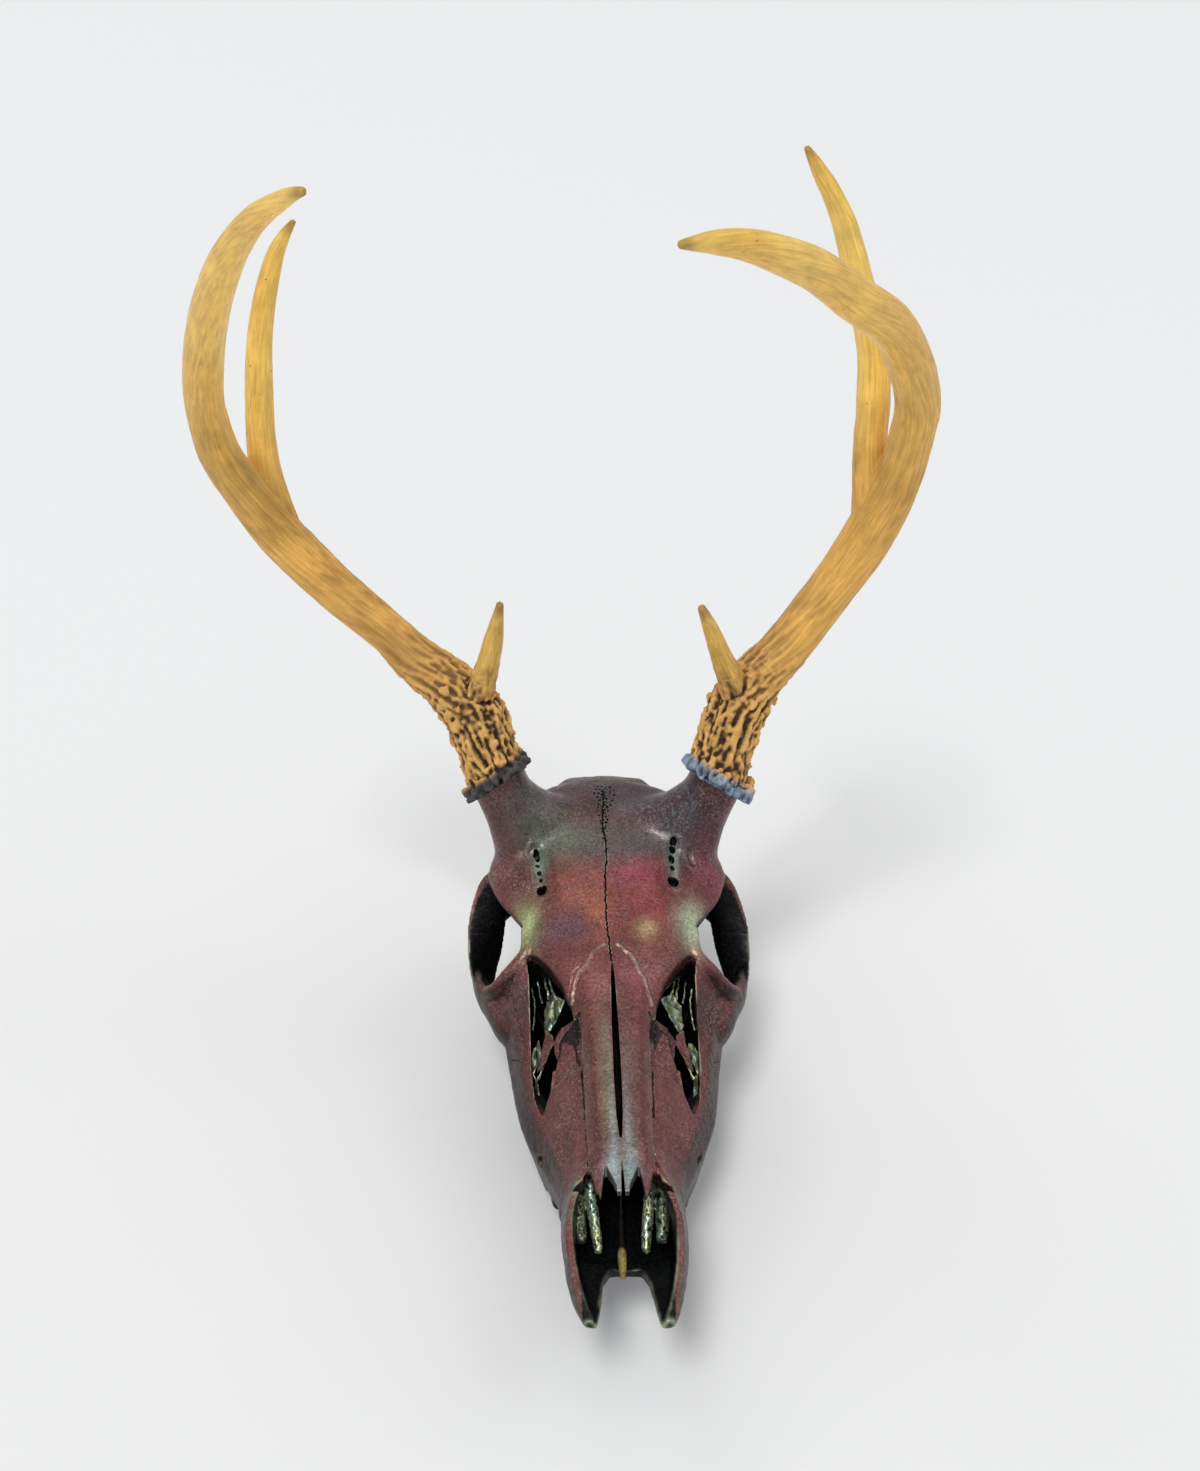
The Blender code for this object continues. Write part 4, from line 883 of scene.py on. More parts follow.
def toneOf(places, normals, depth):
    tone = np.tile(linear(paint["base"]), (len(places), 1))
    flutter = 1 + 0.25 * softNoise(places, 6, 71)
    for centre, half, colour, strength in paint["zones"]:
        away = np.linalg.norm((places - np.array(centre)) / np.array(half), axis=1)
        share = np.clip(strength * np.exp(-(away ** 2) * 0.9) * flutter, 0, 1)[:, None]
        tone = blend(tone, linear(colour), share)
    for line in seams["noseRoot"]:
        share = (paint["seamShare"] * bell(nearLine(jigged(places), line), 0, 0.5))[:, None]
        tone = blend(tone, linear(paint["seam"]), share)
    across, along, high = np.abs(places[:, 0]), places[:, 1], places[:, 2]
    # painted shade on the near-vertical sides
    front = (1 - ramp(along, 135, 165)) * ramp(across, 15, 19)
    steepShade = 1 - ramp(normals[:, 2] - 0.14 * front, 0.12, 0.62)
    steepShade *= (1 - 0.55 * ramp(along, 185, 210))
    steepShade = (paint["sideShadeShare"] * steepShade * np.clip(flutter, 0, 1))[:, None]
    tone = blend(tone, linear(paint["side"]), steepShade)
    # painted shade on low and downward faces
    low = 1 - ramp(high - 0.30 * along, -8, 14)
    low = np.maximum(low, ramp(-normals[:, 2], 0.35, 0.9))[:, None] * paint["underShadeShare"]
    tone = blend(tone, linear(paint["underShade"]), low)
    # painted shade in the trough between the incisive bones, on the floor behind it and on whatever lies deep
    outward = normals[:, 0] * np.sign(places[:, 0])
    trough = (1 - ramp(outward, 0.15, 0.5)) * (1 - ramp(along, 60, 68)) * (high < 47)
    trough *= 1 - ramp(normals[:, 2], 0.2, 0.6) * ramp(high - 30 - 0.22 * (along - 10), -1, 1)
    pan = (along < 98) & (high < 40) & (across < 16) & (normals[:, 2] > 0.2)
    inner = np.maximum(np.maximum(ramp(depth, 1.5, 3.2), trough), pan)[:, None]
    return blend(tone, linear(paint["inside"]), inner), np.maximum(inner, 0.85 * steepShade)[:, 0]


def depthUnder(places, tree):
    # How deep each place lies below the closed outer form of the bone.
    out = np.zeros(len(places))
    for i, spot in enumerate(places):
        near, normal, _, away = tree.find_nearest(Vector(spot))
        if near is not None and (Vector(spot) - near).dot(normal) < 0:
            out[i] = away
    return out


def orbitShade(places, normals):
    # The inner face of the ring behind the eye, painted nearly black as painted shade.
    out = np.zeros(len(places))
    for sign in (1, -1):
        eye = np.array((sign * 47.0, 190.0, 70.0))
        toEye = eye - places
        away = np.linalg.norm(toEye, axis=1)
        facing = (toEye * normals).sum(1) / np.maximum(away, 1e-6)
        out = np.maximum(out, ramp(facing, 0.25, 0.6) * ramp(-away, -36, -30))
    return out


boneLook = {
    "fleckGlints": 1700.0, "fleckShare": 0.38, "mottle": 110.0, "grain": 1000.0, "bump": 0.45,
    "fleckCool": (0.27, 0.40, 0.38, 1), "fleckWarm": (0.42, 0.20, 0.19, 1), "edgeHighlightTone": (0.36, 0.42, 0.27, 1),
    # for each kind of bone: name, metallic, roughness
    "kinds": {"nasal": ("paintNasal", 0.65, 0.31), "frontal": ("paintForehead", 0.60, 0.34),
              "cheekbone": ("paintCheek", 0.55, 0.42), "premaxilla": ("paintIncisive", 0.60, 0.36),
              "maxilla": ("paintJaw", 0.55, 0.42), "braincase": ("paintBrainCase", 0.55, 0.44)},
    "shelf": ("paintShelf", 0.55, 0.40),
}


def paintedBone(name, metallic, roughness):
    mat, tree, shader = freshMaterial(name)
    where = put(tree, "ShaderNodeTexCoord").outputs["Object"]
    mottle = spread(tree, grainOf(tree, where, boneLook["mottle"], 4.0, 0.6), 0.3, 0.7, 0.76, 1.24)
    grain = spread(tree, grainOf(tree, where, boneLook["grain"], 2.0, 0.6), 0.3, 0.7, 0.58, 1.42)
    tone = mixed(tree, 1.0, told(tree, "tone", "Color"), sums(tree, "MULTIPLY", mottle, grain), "MULTIPLY")
    # metallic flake colour with painted glints: random cells turn a brighter cool or warm tone
    cells = put(tree, "ShaderNodeTexVoronoi", {"Vector": where, "Scale": boneLook["fleckGlints"]}).outputs["Color"]
    parts = put(tree, "ShaderNodeSeparateColor", {"Color": cells})
    lit = spread(tree, parts.outputs[0], 1 - boneLook["fleckShare"], 1.0)
    fleckGlints = sums(tree, "MULTIPLY", lit, told(tree, "shine"))
    fleckGlintTone = mixed(tree, parts.outputs[1], boneLook["fleckCool"], boneLook["fleckWarm"])
    tone = mixed(tree, fleckGlints, tone, fleckGlintTone)
    # painted highlight: bulging edges turn a pale green silver
    tone = mixed(tree, told(tree, "edge"), tone, boneLook["edgeHighlightTone"])
    # painted shade: concave creases turn nearly black
    tone = mixed(tree, told(tree, "creaseShade"), tone, (0.006, 0.006, 0.008, 1))
    tree.links.new(tone, shader.inputs["Base Color"])
    shader.inputs["Metallic"].default_value = metallic
    rough = spread(tree, grainOf(tree, where, 420.0, 3.0), 0.3, 0.7, roughness - 0.07, roughness + 0.10)
    rough = sums(tree, "SUBTRACT", rough, sums(tree, "MULTIPLY", fleckGlints, 0.12))
    tree.links.new(rough, shader.inputs["Roughness"])
    shader.inputs["Specular IOR Level"].default_value = 0.30
    shader.inputs["Coat Weight"].default_value = 0.04
    shader.inputs["Coat Roughness"].default_value = 0.30
    fine = sums(tree, "ADD", grainOf(tree, where, 700.0, 4.0, 0.65), sums(tree, "MULTIPLY", lit, 0.25))
    bump = put(tree, "ShaderNodeBump", {"Height": fine, "Strength": boneLook["bump"], "Distance": 0.0004})
    tree.links.new(bump.outputs["Normal"], shader.inputs["Normal"])
    return mat


def bendsOf(thing):
    # Bends of the whole skull, looked up by place, so that the borders between bones don't count.
    spots, values = placesOf(thing.data), bends(thing.data)
    tree = KDTree(len(spots))
    for i, spot in enumerate(spots):
        tree.insert(spot, i)
    tree.balance()
    return tree, values


def finishBone(piece, mat, hullTree, bend):
    # Colour zones with painted shade, painted highlights on bright edges and painted shade in dark creases, as
    # numbers on the mesh, then the shader.
    mesh = piece.data
    places, normals = placesOf(mesh), normalsOf(mesh)
    depth = depthUnder(places, hullTree)
    shade = orbitShade(places, normals)
    tone, inner = toneOf(places, normals, np.maximum(depth, shade * 3.4))
    nearest, values = bend
    curl = np.array([values[nearest.find(spot)[1]] for spot in places])
    # painted highlights on bulging edges, fading where the bone lies deep
    edge = ramp(curl, 0.06, 0.24) * (1 - ramp(depth, 3.0, 6.0)) * 0.9
    setColours(mesh, "tone", tone)
    setNumbers(mesh, "edge", edge * ramp(softNoise(places, 7, 81), -0.6, 0.4))
    # painted shade in concave creases
    setNumbers(mesh, "creaseShade", ramp(-curl, 0.10, 0.34) * 0.9)
    # the flakes' painted glints fade in painted shade
    setNumbers(mesh, "shine", np.clip(0.35 + 0.4 * softNoise(places, 11, 91), 0.15, 0.8) * (1 - 0.85 * inner))
    wear(piece, mat)


def cutRegion(body, region):
    # One pair of bones out of the skull, their borders shared with what is left.
    name, axis, low, high, outline = region
    if axis == "z":
        other = [(-x, y) for x, y in reversed(outline)]
        tool = prism("tool", other[:-1] + list(outline)[:-1], axis, low, high)
    elif low > 0:
        tool = joined("tool", both([prism("tool", outline, axis, low, high)]))
    else:
        tool = prism("tool", outline, axis, -high, high)
    pair = boolean(addObject(name, body.data.copy()), tool, "INTERSECT")
    body = boolean(body, tool)
    drop(tool)
    halves = {}
    for side, span in (("left", (0, 90)), ("right", (-90, 0))):
        half = prism("half", ((-20, -40), (320, -40), (320, 170), (-20, 170)), "x", *span)
        halves[side] = boolean(addObject(name + side, pair.data.copy()), half, "INTERSECT")
        drop(half)
    drop(pair)
    return body, halves


# Cheek teeth as (length, width, lobes), front to back, and the line of their centres.
teeth = {
    "sizes": ((10.6, 9.2, 1), (11.4, 10.4, 1), (11.4, 11.8, 1), (14.0, 13.8, 2), (15.2, 14.8, 2),
              (14.4, 14.0, 2)),
    "start": 92.4, "rootTop": 15.0, "rootWide": 0.84,
    # below the root: (height above the chewing edge, share of the width)
    "profile": ((9, 0.93), (6.5, 0.99), (4.5, 1.0), (2.4, 0.99), (1.0, 0.95), (0.35, 0.88), (0.5, 0.72),
                (1.5, 0.45), (1.0, 0.2)),
    "row": ((92, 18.8, 3.0), (104, 21.4, 2.0), (116, 24.4, 0.9), (128, 26.8, 0.0), (150, 28.0, 0.0),
            (170, 27.0, 0.0)),
}


def rowAt(y):
    row = teeth["row"]
    for (a, xa, za), (b, xb, zb) in zip(row, row[1:]):
        if y <= b:
            t = (y - a) / (b - a)
            return xa + (xb - xa) * t, za + (zb - za) * t
    return row[-1][1:]


def rounded(value, power):
    return math.copysign(abs(value) ** power, value)


def makeTooth(name, start, length, width, lobes):
    middle, low = rowAt(start + length / 2)
    sides, rings = 56, []
    profile = [(teeth["rootTop"], teeth["rootWide"])] + [(low + high, wide) for high, wide in teeth["profile"]]
    for z, wide in profile:
        ring = []
        for k in range(sides):
            a = 2 * math.pi * k / sides
            along, across = rounded(math.cos(a), 0.55), rounded(math.sin(a), 0.75)
            pinch = 1.0 - 0.22 * (1 - abs(math.cos(a))) ** 3 * (lobes == 2)
            pinch += 0.03 * math.cos(8 * a) * (z < low + 7)
            cusp = 0.6 * abs(math.cos(a * lobes)) * (z < low + 1.2)
            slant = -0.07 * (z - low)
            ring.append((middle + slant + across * 0.5 * width * wide * pinch,
                         start + 0.5 * length * (1 + along * wide), z - cusp + 0.5 * (z < low + 1.2)))
        rings.append(ring)
    return skin(name, rings)


def makeTeeth():
    made, start = [], teeth["start"]
    for i, (length, width, lobes) in enumerate(teeth["sizes"]):
        made.append(makeTooth(f"tooth{i}", start, length - 0.3, width, lobes))
        start += length
    return joined("teeth", made)


# Thin scrolls of bone and the middle wall inside the nose.
noseBones = {
    "inner": ((8.6, 49, 28.6, 1.3, 1.8), (9.2, 55, 31.6, 1.7, 3.0), (10.4, 63, 36.5, 1.9, 4.2),
              (11.6, 74, 42, 2.0, 5.0), (12.4, 90, 47, 2.6, 5.4), (13, 110, 50, 3.0, 5.0)),
    "outer": ((14.6, 53, 29.6, 1.8, 2.4), (15.4, 59, 33, 2.4, 4.0), (15.6, 69, 36, 2.5, 5.0),
              (16, 84, 37.5, 2.8, 5.6), (17, 100, 39, 3.0, 6.0), (19, 116, 41, 3.0, 6.0)),
    "wall": ((-1.2, 40, 24.4, 1.3, 1.3), (-1.1, 49, 25.4, 1.7, 2.2), (-0.9, 58, 25.4, 1.3, 2.2),
             (-0.5, 74, 27.5, 1.3, 4.2), (0, 94, 36, 1.5, 12.4), (0, 115, 41, 2.5, 15.0),
             (0, 140, 45, 2.8, 16.0), (0, 152, 49, 2.6, 14.0)),
    "bridge": ((14.0, 104, 45), (3.6, 12, 4.0)), "wrinkle": 0.30, "wrinkleSize": 1.15,
}


def makeScroll(sign):
    thing = joined("scroll", [strut("inner", noseBones["inner"]), strut("outer", noseBones["outer"]),
                              ball("bridge", *noseBones["bridge"])])
    thing = onSide(thing, sign)
    thing = remesh(thing, 0.45, 2)
    places = placesOf(thing.data)
    folds = np.abs(softNoise(places * np.array((1, 0.75, 1)), noseBones["wrinkleSize"], 51 + sign))
    move = noseBones["wrinkle"] * (1 - 2.6 * folds) + 0.15 * softNoise(places, 0.9, 53)
    setPlaces(thing.data, places + normalsOf(thing.data) * move[:, None])
    # painted highlights on the raised wrinkles and painted shade in the folds; the outer scroll's highlights
    # are painted fainter
    lit = np.where(np.abs(places[:, 0]) > 12.9 + 0.02 * (places[:, 1] - 60), 0.42, 1.0)
    setNumbers(thing.data, "ridge", np.clip(1.25 - 1.7 * folds, 0, 1) * lit)
    setPlaces(thing.data, placesOf(thing.data) - np.array((1.0, 0, 0)))
    return thing


openings = {
    # thin plates seen through the openings beside the nasals, as outlines of one side (x from the midline, y)
    "silver": (((25.2, 157.8), (19.7, 151.4), (21.9, 148.2), (24, 145.6), (26.2, 142.8), (28.6, 146.6),
                (28.4, 153.9), (26.6, 155.6)),
               ((30.4, 142.5), (29.8, 136.9), (33.4, 130.3), (35.4, 134.3), (33.2, 141.1)),
               ((33.3, 131.2), (31.6, 128.5), (30.1, 118.1), (31.8, 116), (32.7, 124.1))),
    "pink": (((16.2, 138.2), (16.0, 133), (14.7, 117.4), (20.3, 120.6), (22.6, 125.2), (24.2, 130.8),
              (24.5, 134.8), (23.4, 136.7), (21.3, 138.6)),
             ((28.1, 142.4), (24.8, 137.6), (25.2, 134), (28, 129.4), (31.5, 127.8), (30.4, 133.5),
              (28.9, 137.7))),
    "threads": (((31.4, 173, 71, 0.5), (30.8, 167, 67, 0.45), (29.6, 160, 62, 0.5)),
                ((28.8, 170, 73, 0.6), (27.4, 163, 69, 0.5), (26.4, 157, 66, 0.6)),
                ((26, 165, 74, 0.6), (25.2, 159, 70, 0.5), (22.6, 153, 68, 0.7)),
                ((33.6, 166, 66, 0.5), (32.6, 159, 61, 0.5), (33.4, 150, 56, 0.5)),
                ((24.6, 139, 58, 0.7), (27.5, 134, 54, 0.5), (31.5, 127, 47.5, 0.6)),
                ((36.5, 171, 74, 0.9), (34.6, 170, 73, 0.8), (33.2, 168, 71, 0.5))),
    # height of the plates: slope along y and x from the anchor (y, x), then level, thickness and crumple
    "slope": (0.55, -0.8), "anchor": (131, 16),
    "level": {"silver": 60.9, "pink": 64.5}, "thick": {"silver": 1.0, "pink": 1.1},
    "crumple": {"silver": (1.3, 2.6), "pink": (0.35, 5.0)},
}


def makeSheets(kind, sign):
    # Crumpled plates on the slope between the nasal and the cheek.
    half = openings["thick"][kind] / 2
    thing = joined(kind, [prism(kind, line, "z", -half, half) for line in openings[kind]])
    thing = remesh(thing, 0.42, 2, 0.4)
    places = placesOf(thing.data)
    (alongY, alongX), (y, x) = openings["slope"], openings["anchor"]
    high, wide = openings["crumple"][kind]
    fold = np.abs(softNoise(places * np.array((1.3, 0.6, 1)), wide, 101 + sign))
    places[:, 2] += openings["level"][kind] + alongY * (places[:, 1] - y) + alongX * (places[:, 0] - x)
    places[:, 2] += high * (0.6 - 1.8 * fold) + 0.2 * softNoise(places, 1.4, 105)
    places[:, 0] += 0.4 * softNoise(places, 2.2, 107 + sign)
    setPlaces(thing.data, places)
    if kind == "silver":
        lines = [tube("thread", line, 6, 10) for line in openings["threads"]]
        threads = remesh(joined("threads", lines), 0.34, 2, 0.4)
        spots = placesOf(threads.data)
        spots += 0.5 * np.stack([softNoise(spots, 2.0, 111 + k) for k in range(3)], 1)
        setPlaces(threads.data, spots)
        thing = joined("silver", [thing, threads])
    thing = onSide(thing, sign)
    places = placesOf(thing.data)
    # painted highlights on the crumpled tops of the plates and threads, painted shade in their folds
    ridge = 0.55 + 1.3 * bends(thing.data, 2) + 0.5 * softNoise(places, 3, 125)
    setNumbers(thing.data, "ridge", np.clip(ridge, 0, 1))
    return thing


# Metals with wrinkles: name, (dark, light, light) colours and how metallic they are. The dark colour is painted
# shade; on the scrolls and plates the light ones are painted highlights.
noseLook = {
    "scroll": ("scrollMetal", ((0.014, 0.024, 0.018, 1), (0.86, 0.88, 0.42, 1), (0.66, 0.86, 0.72, 1)), 0.7),
    "wall": ("wallBone", ((0.014, 0.010, 0.008, 1), (0.50, 0.36, 0.09, 1), (0.62, 0.50, 0.20, 1)), 0.0),
    "shelfTone": (118, 74, 70),
}


def wrinkledMetal(name, colours, metallic):
    mat, tree, shader = freshMaterial(name)
    where = put(tree, "ShaderNodeTexCoord").outputs["Object"]
    drift = spread(tree, grainOf(tree, where, 160.0, 3.0), 0.35, 0.65)
    bright = mixed(tree, drift, colours[1], colours[2])
    tone = mixed(tree, told(tree, "ridge"), colours[0], bright)
    cells = put(tree, "ShaderNodeTexVoronoi", {"Vector": where, "Scale": 2300.0}).outputs["Color"]
    parts = put(tree, "ShaderNodeSeparateColor", {"Color": cells})
    spark = spread(tree, parts.outputs[0], 0.6, 1.0, 0.7, 1.5)
    tone = mixed(tree, 1.0, tone, spark, "MULTIPLY")
    tree.links.new(tone, shader.inputs["Base Color"])
    shader.inputs["Metallic"].default_value = metallic
    rough = spread(tree, grainOf(tree, where, 500.0), 0.3, 0.7, 0.28, 0.46)
    tree.links.new(rough, shader.inputs["Roughness"])
    bump = put(tree, "ShaderNodeBump", {"Height": grainOf(tree, where, 900.0, 4.0, 0.7), "Strength": 0.5,
                                        "Distance": 0.0004})
    tree.links.new(bump.outputs["Normal"], shader.inputs["Normal"])
    return mat


# The antlers: centre lines in the tipped frame as (x, y, z, radius), and where they are parted.
antlers = {
    "right": {
        "burrAxis": (-0.56, 0.34, 0.75),
        "beam": ((-45.0, 233.8, 123, 12.4), (-46.8, 235, 129, 12.9), (-51.4, 239.4, 140, 12.3),
                 (-58, 246, 156, 12.5), (-68, 252, 166, 11.2), (-84, 260, 176, 9.9),
                 (-95, 266, 185, 9.0), (-112, 273, 197, 9.5),
                 (-127, 279, 209, 9.9), (-141, 283, 223, 10.2), (-152, 281, 240, 9.2), (-161, 274, 261, 8.6),
                 (-163, 263, 284, 7.9), (-159, 247, 307, 7.8), (-151, 228, 332, 7.3), (-139, 204, 356, 6.2),
                 (-125, 180, 375, 4.6), (-110, 155, 388, 2.9), (-102, 142, 393, 1.4)),
        "back_tine": ((-137, 281, 217, 8.6), (-145, 290, 240, 7.2), (-148, 295, 260, 6.3),
                      (-147, 299, 292, 5.6), (-144, 300, 313, 4.9), (-138, 299, 334, 3.9),
                      (-133, 297, 344, 2.6), (-128, 295, 351, 1.0)),
        "brow_tine": ((-57, 248, 158, 7.6), (-55, 243.5, 170, 6.2), (-52, 240, 182, 5.0),
                      (-49, 234, 198, 4.1), (-46, 226, 218, 1.6)),
        "cuts": (("brow_tine", 1.5), ("beam", 4.3), ("back_tine", 1.5), ("beam", 10.5)),
        "burrRadius": 13.9, "burrTone": (30, 28, 30), "burrHighlight": (78, 74, 72), "seed": 11,
    },
    "left": {
        "burrAxis": (0.49, 0.33, 0.81),
        "beam": ((44.6, 233.8, 123, 12.4), (46.4, 235, 129, 13.0), (48.8, 239.4, 141, 12.1),
                 (54, 246, 157, 12.1), (62, 252, 169, 11.2), (75, 260, 181, 10.2),
                 (86, 266, 194, 10.1), (96, 272, 206, 10.1),
                 (107, 278, 221, 10.8), (115, 281, 236, 10.7), (121, 280, 254, 9.7), (123, 275, 274, 9.3),
                 (122, 268, 290, 9.3), (114, 256, 310, 9.0), (101, 240, 329, 8.7), (82, 220, 344, 8.3),
                 (66, 203, 357, 7.6), (51, 186, 366, 6.7), (37, 170, 373, 5.4), (24, 156, 377, 3.9),
                 (12, 143, 379, 1.4)),
        "back_tine": ((112, 280, 230, 8.8), (110, 292, 260, 7.2), (110, 297, 281, 7.2), (108, 300, 302, 6.7),
                      (101, 302, 326, 6.0), (95, 302, 343, 5.5), (91, 301, 353, 5.0), (85, 299, 364, 4.2),
                      (79, 297, 373, 3.3), (72, 293, 383, 1.2)),
        "brow_tine": ((55, 248, 158, 7.6), (51.5, 244, 174, 6.0), (46, 240, 188, 4.6), (40, 234, 204, 3.3),
                      (35, 229, 216, 1.6)),
        "cuts": (("brow_tine", 1.4), ("beam", 4.4), ("back_tine", 1.15), ("beam", 10.4)),
        "burrRadius": 15.2, "burrTone": (40, 46, 62), "burrHighlight": (140, 158, 178), "seed": 7,
    },
}
antlerLook = {
    "groove": (54, 29, 10), "ridge": (228, 176, 100), "gold": (236, 180, 88), "brown": (128, 82, 32),
    "cream": (255, 216, 112), "honey": (248, 194, 88), "tipBrown": (104, 56, 14),
    # knobs around the burr, smaller ones above them, and pearls below and around the brow tine
    "knobs": 30, "smallKnobs": 26, "pearls": 60,
}
# Length along the antler at which each line starts, for the change from rough to smooth.
lineStarts = {"beam": 0.0, "back_tine": 150.0, "brow_tine": 38.0}


def lineNumbers(places, data):
    # For each place: length from the burr, offset across the nearest line, that line's end and its number.
    rows = []
    for tag, (name, start) in enumerate(lineStarts.items()):
        line = between(data[name], 10)
        long = [start]
        for a, b in zip(line, line[1:]):
            long.append(long[-1] + (Vector(b[:3]) - Vector(a[:3])).length)
        total = long[-1]
        for k, row in enumerate(line):
            rows.append((*row, long[k], total, *heading(line, k).normalized(), tag))
    rows = np.array(rows)
    best, pick = np.full(len(places), 1e9), np.zeros(len(places), int)
    for k, row in enumerate(rows):
        away = np.linalg.norm(places - row[:3], axis=1) - row[3]
        near = away < best
        best[near], pick[near] = away[near], k
    row = rows[pick]
    off = places - row[:, :3]
    along = row[:, 4] + (off * row[:, 6:9]).sum(1)
    across = off - (off * row[:, 6:9]).sum(1)[:, None] * row[:, 6:9]
    return along, across, row[:, 5], row[:, 9]


def antlerRelief(places, data, seed):
    along, across, total, tag = lineNumbers(places, data)
    grain = np.stack([across[:, 0], across[:, 1], across[:, 2] + along * 0.30], 1)
    coarse = 1 - 2 * np.abs(softNoise(grain, 2.7, seed))
    fine = 1 - 2 * np.abs(softNoise(grain * np.array((1, 1, 1.2)), 1.9, seed + 3))
    knobs = softNoise(places, 2.3, seed + 5)
    low = 1 - ramp(along, 34, 92)
    brow = (tag == 2) * (1 - 0.75 * ramp(along, 44, 56)) * (1 - ramp(along, 60, 80))
    low = np.where(tag == 2, brow, low)
    left = total - along
    mid = (1 - ramp(along, 150, 300)) * ramp(left, 30, 90)
    broken = 0.35 + 0.65 * ramp(softNoise(places, 4.5, seed + 9), -0.25, 0.25)
    rough = low * (1.15 * coarse * broken + 0.5 * fine + 0.9 * np.clip(knobs, -0.4, 1)
                   + 0.25 * softNoise(places, 0.9, seed + 6))
    streaks = mid * (0.22 * coarse + 0.12 * fine)
    wave = 0.12 * layeredNoise(places, 16, seed + 8)
    move = rough + streaks + wave - 0.25 * low
    return move, along, across, total, low, mid, tag, np.clip(0.5 + 0.5 * (0.6 * coarse + 0.4 * fine), 0, 1)


def makeAntler(side):
    data = antlers[side]
    root, axis = Vector(data["beam"][1][:3]), Vector(data["burrAxis"]).normalized()
    acrossOne = axis.orthogonal().normalized()
    acrossTwo = axis.cross(acrossOne)
    pieces = [tube("beam", data["beam"], 8, 28), tube("back", data["back_tine"], 8, 24),
              tube("brow", data["brow_tine"], 8, 20)]

    def outward(a):
        return acrossOne * math.cos(a) + acrossTwo * math.sin(a)

    random.seed(data["seed"])
    for k in range(antlerLook["knobs"]):
        out = outward(2 * math.pi * (k + random.uniform(-0.3, 0.3)) / antlerLook["knobs"])
        size = random.uniform(1.5, 2.9)
        spot = root + axis * random.uniform(0.4, 3.8) + out * (data["burrRadius"] + random.uniform(-0.9, 0.9))
        pieces.append(ball("knob", spot, (size, size, size * random.uniform(0.8, 1.3)), 3))
    for k in range(antlerLook["smallKnobs"]):
        out = outward(random.uniform(0, 2 * math.pi))
        size = random.uniform(1.0, 1.9)
        spot = root + axis * random.uniform(3.0, 7.0) + out * (data["burrRadius"] - random.uniform(0.6, 2.0))
        pieces.append(ball("knob", spot, (size,) * 3, 3))
    beam = between(data["beam"][:5], 12)
    for k in range(antlerLook["pearls"]):
        row = beam[random.randrange(14, len(beam))]
        out = outward(random.uniform(0, 2 * math.pi))
        size = random.uniform(0.9, 1.9)
        pieces.append(ball("pearl", Vector(row[:3]) + out * (row[3] - 0.2), (size, size, size * 1.8), 3))
    whole = remesh(joined("antler", pieces), antlerVoxel, 3, 0.45)
    places = placesOf(whole.data)
    move = antlerRelief(places, data, data["seed"])[0]
    setPlaces(whole.data, places + normalsOf(whole.data) * move[:, None])
    below = slab(root + axis * -0.2, -axis, 40, 40)
    whole = boolean(whole, below)
    drop(below)
    return whole


def slab(centre, normal, reach, depth):
    bm = bmesh.new()
    bmesh.ops.create_cone(bm, cap_ends=True, segments=32, radius1=reach, radius2=reach, depth=depth)
    turn = normal.to_track_quat("Z", "Y").to_matrix().to_4x4()
    bm.transform(Matrix.Translation(centre + normal * depth / 2) @ turn)
    return fromBmesh("slab", bm)


def antlerMaterial(name):
    mat, tree, shader = freshMaterial(name)
    grainWay = told(tree, "grainWay", "Vector")
    where = put(tree, "ShaderNodeTexCoord").outputs["Object"]
    tone = told(tree, "tone", "Color")
    streak = spread(tree, grainOf(tree, grainWay, 0.9, 5.0, 0.62), 0.34, 0.66, 0.76, 1.14)
    cloud = spread(tree, grainOf(tree, where, 90.0, 4.0, 0.6), 0.3, 0.7, 0.86, 1.12)
    tone = mixed(tree, 1.0, tone, sums(tree, "MULTIPLY", streak, cloud), "MULTIPLY")
    dots = put(tree, "ShaderNodeTexVoronoi", {"Vector": where, "Scale": 210.0, "Randomness": 1.0})
    speck = spread(tree, dots.outputs["Distance"], 0.10, 0.05)
    speck = sums(tree, "MULTIPLY", speck, told(tree, "specks"))
    tone = mixed(tree, speck, tone, (0.06, 0.03, 0.012, 1))
    tree.links.new(tone, shader.inputs["Base Color"])
    rough = spread(tree, told(tree, "coarse"), 0.0, 1.0, 0.34, 0.62)
    uneven = spread(tree, grainOf(tree, grainWay, 2.4, 3.0), 0.3, 0.7, -0.05, 0.07)
    tree.links.new(sums(tree, "ADD", rough, uneven), shader.inputs["Roughness"])
    shader.inputs["Specular IOR Level"].default_value = 0.35
    fine = sums(tree, "ADD", sums(tree, "MULTIPLY", grainOf(tree, grainWay, 3.2, 5.0, 0.65), 0.8),
                sums(tree, "MULTIPLY", grainOf(tree, where, 1300.0, 3.0), 0.3))
    bump = put(tree, "ShaderNodeBump", {"Height": fine, "Strength": 0.5, "Distance": 0.0006})
    tree.links.new(bump.outputs["Normal"], shader.inputs["Normal"])
    return mat


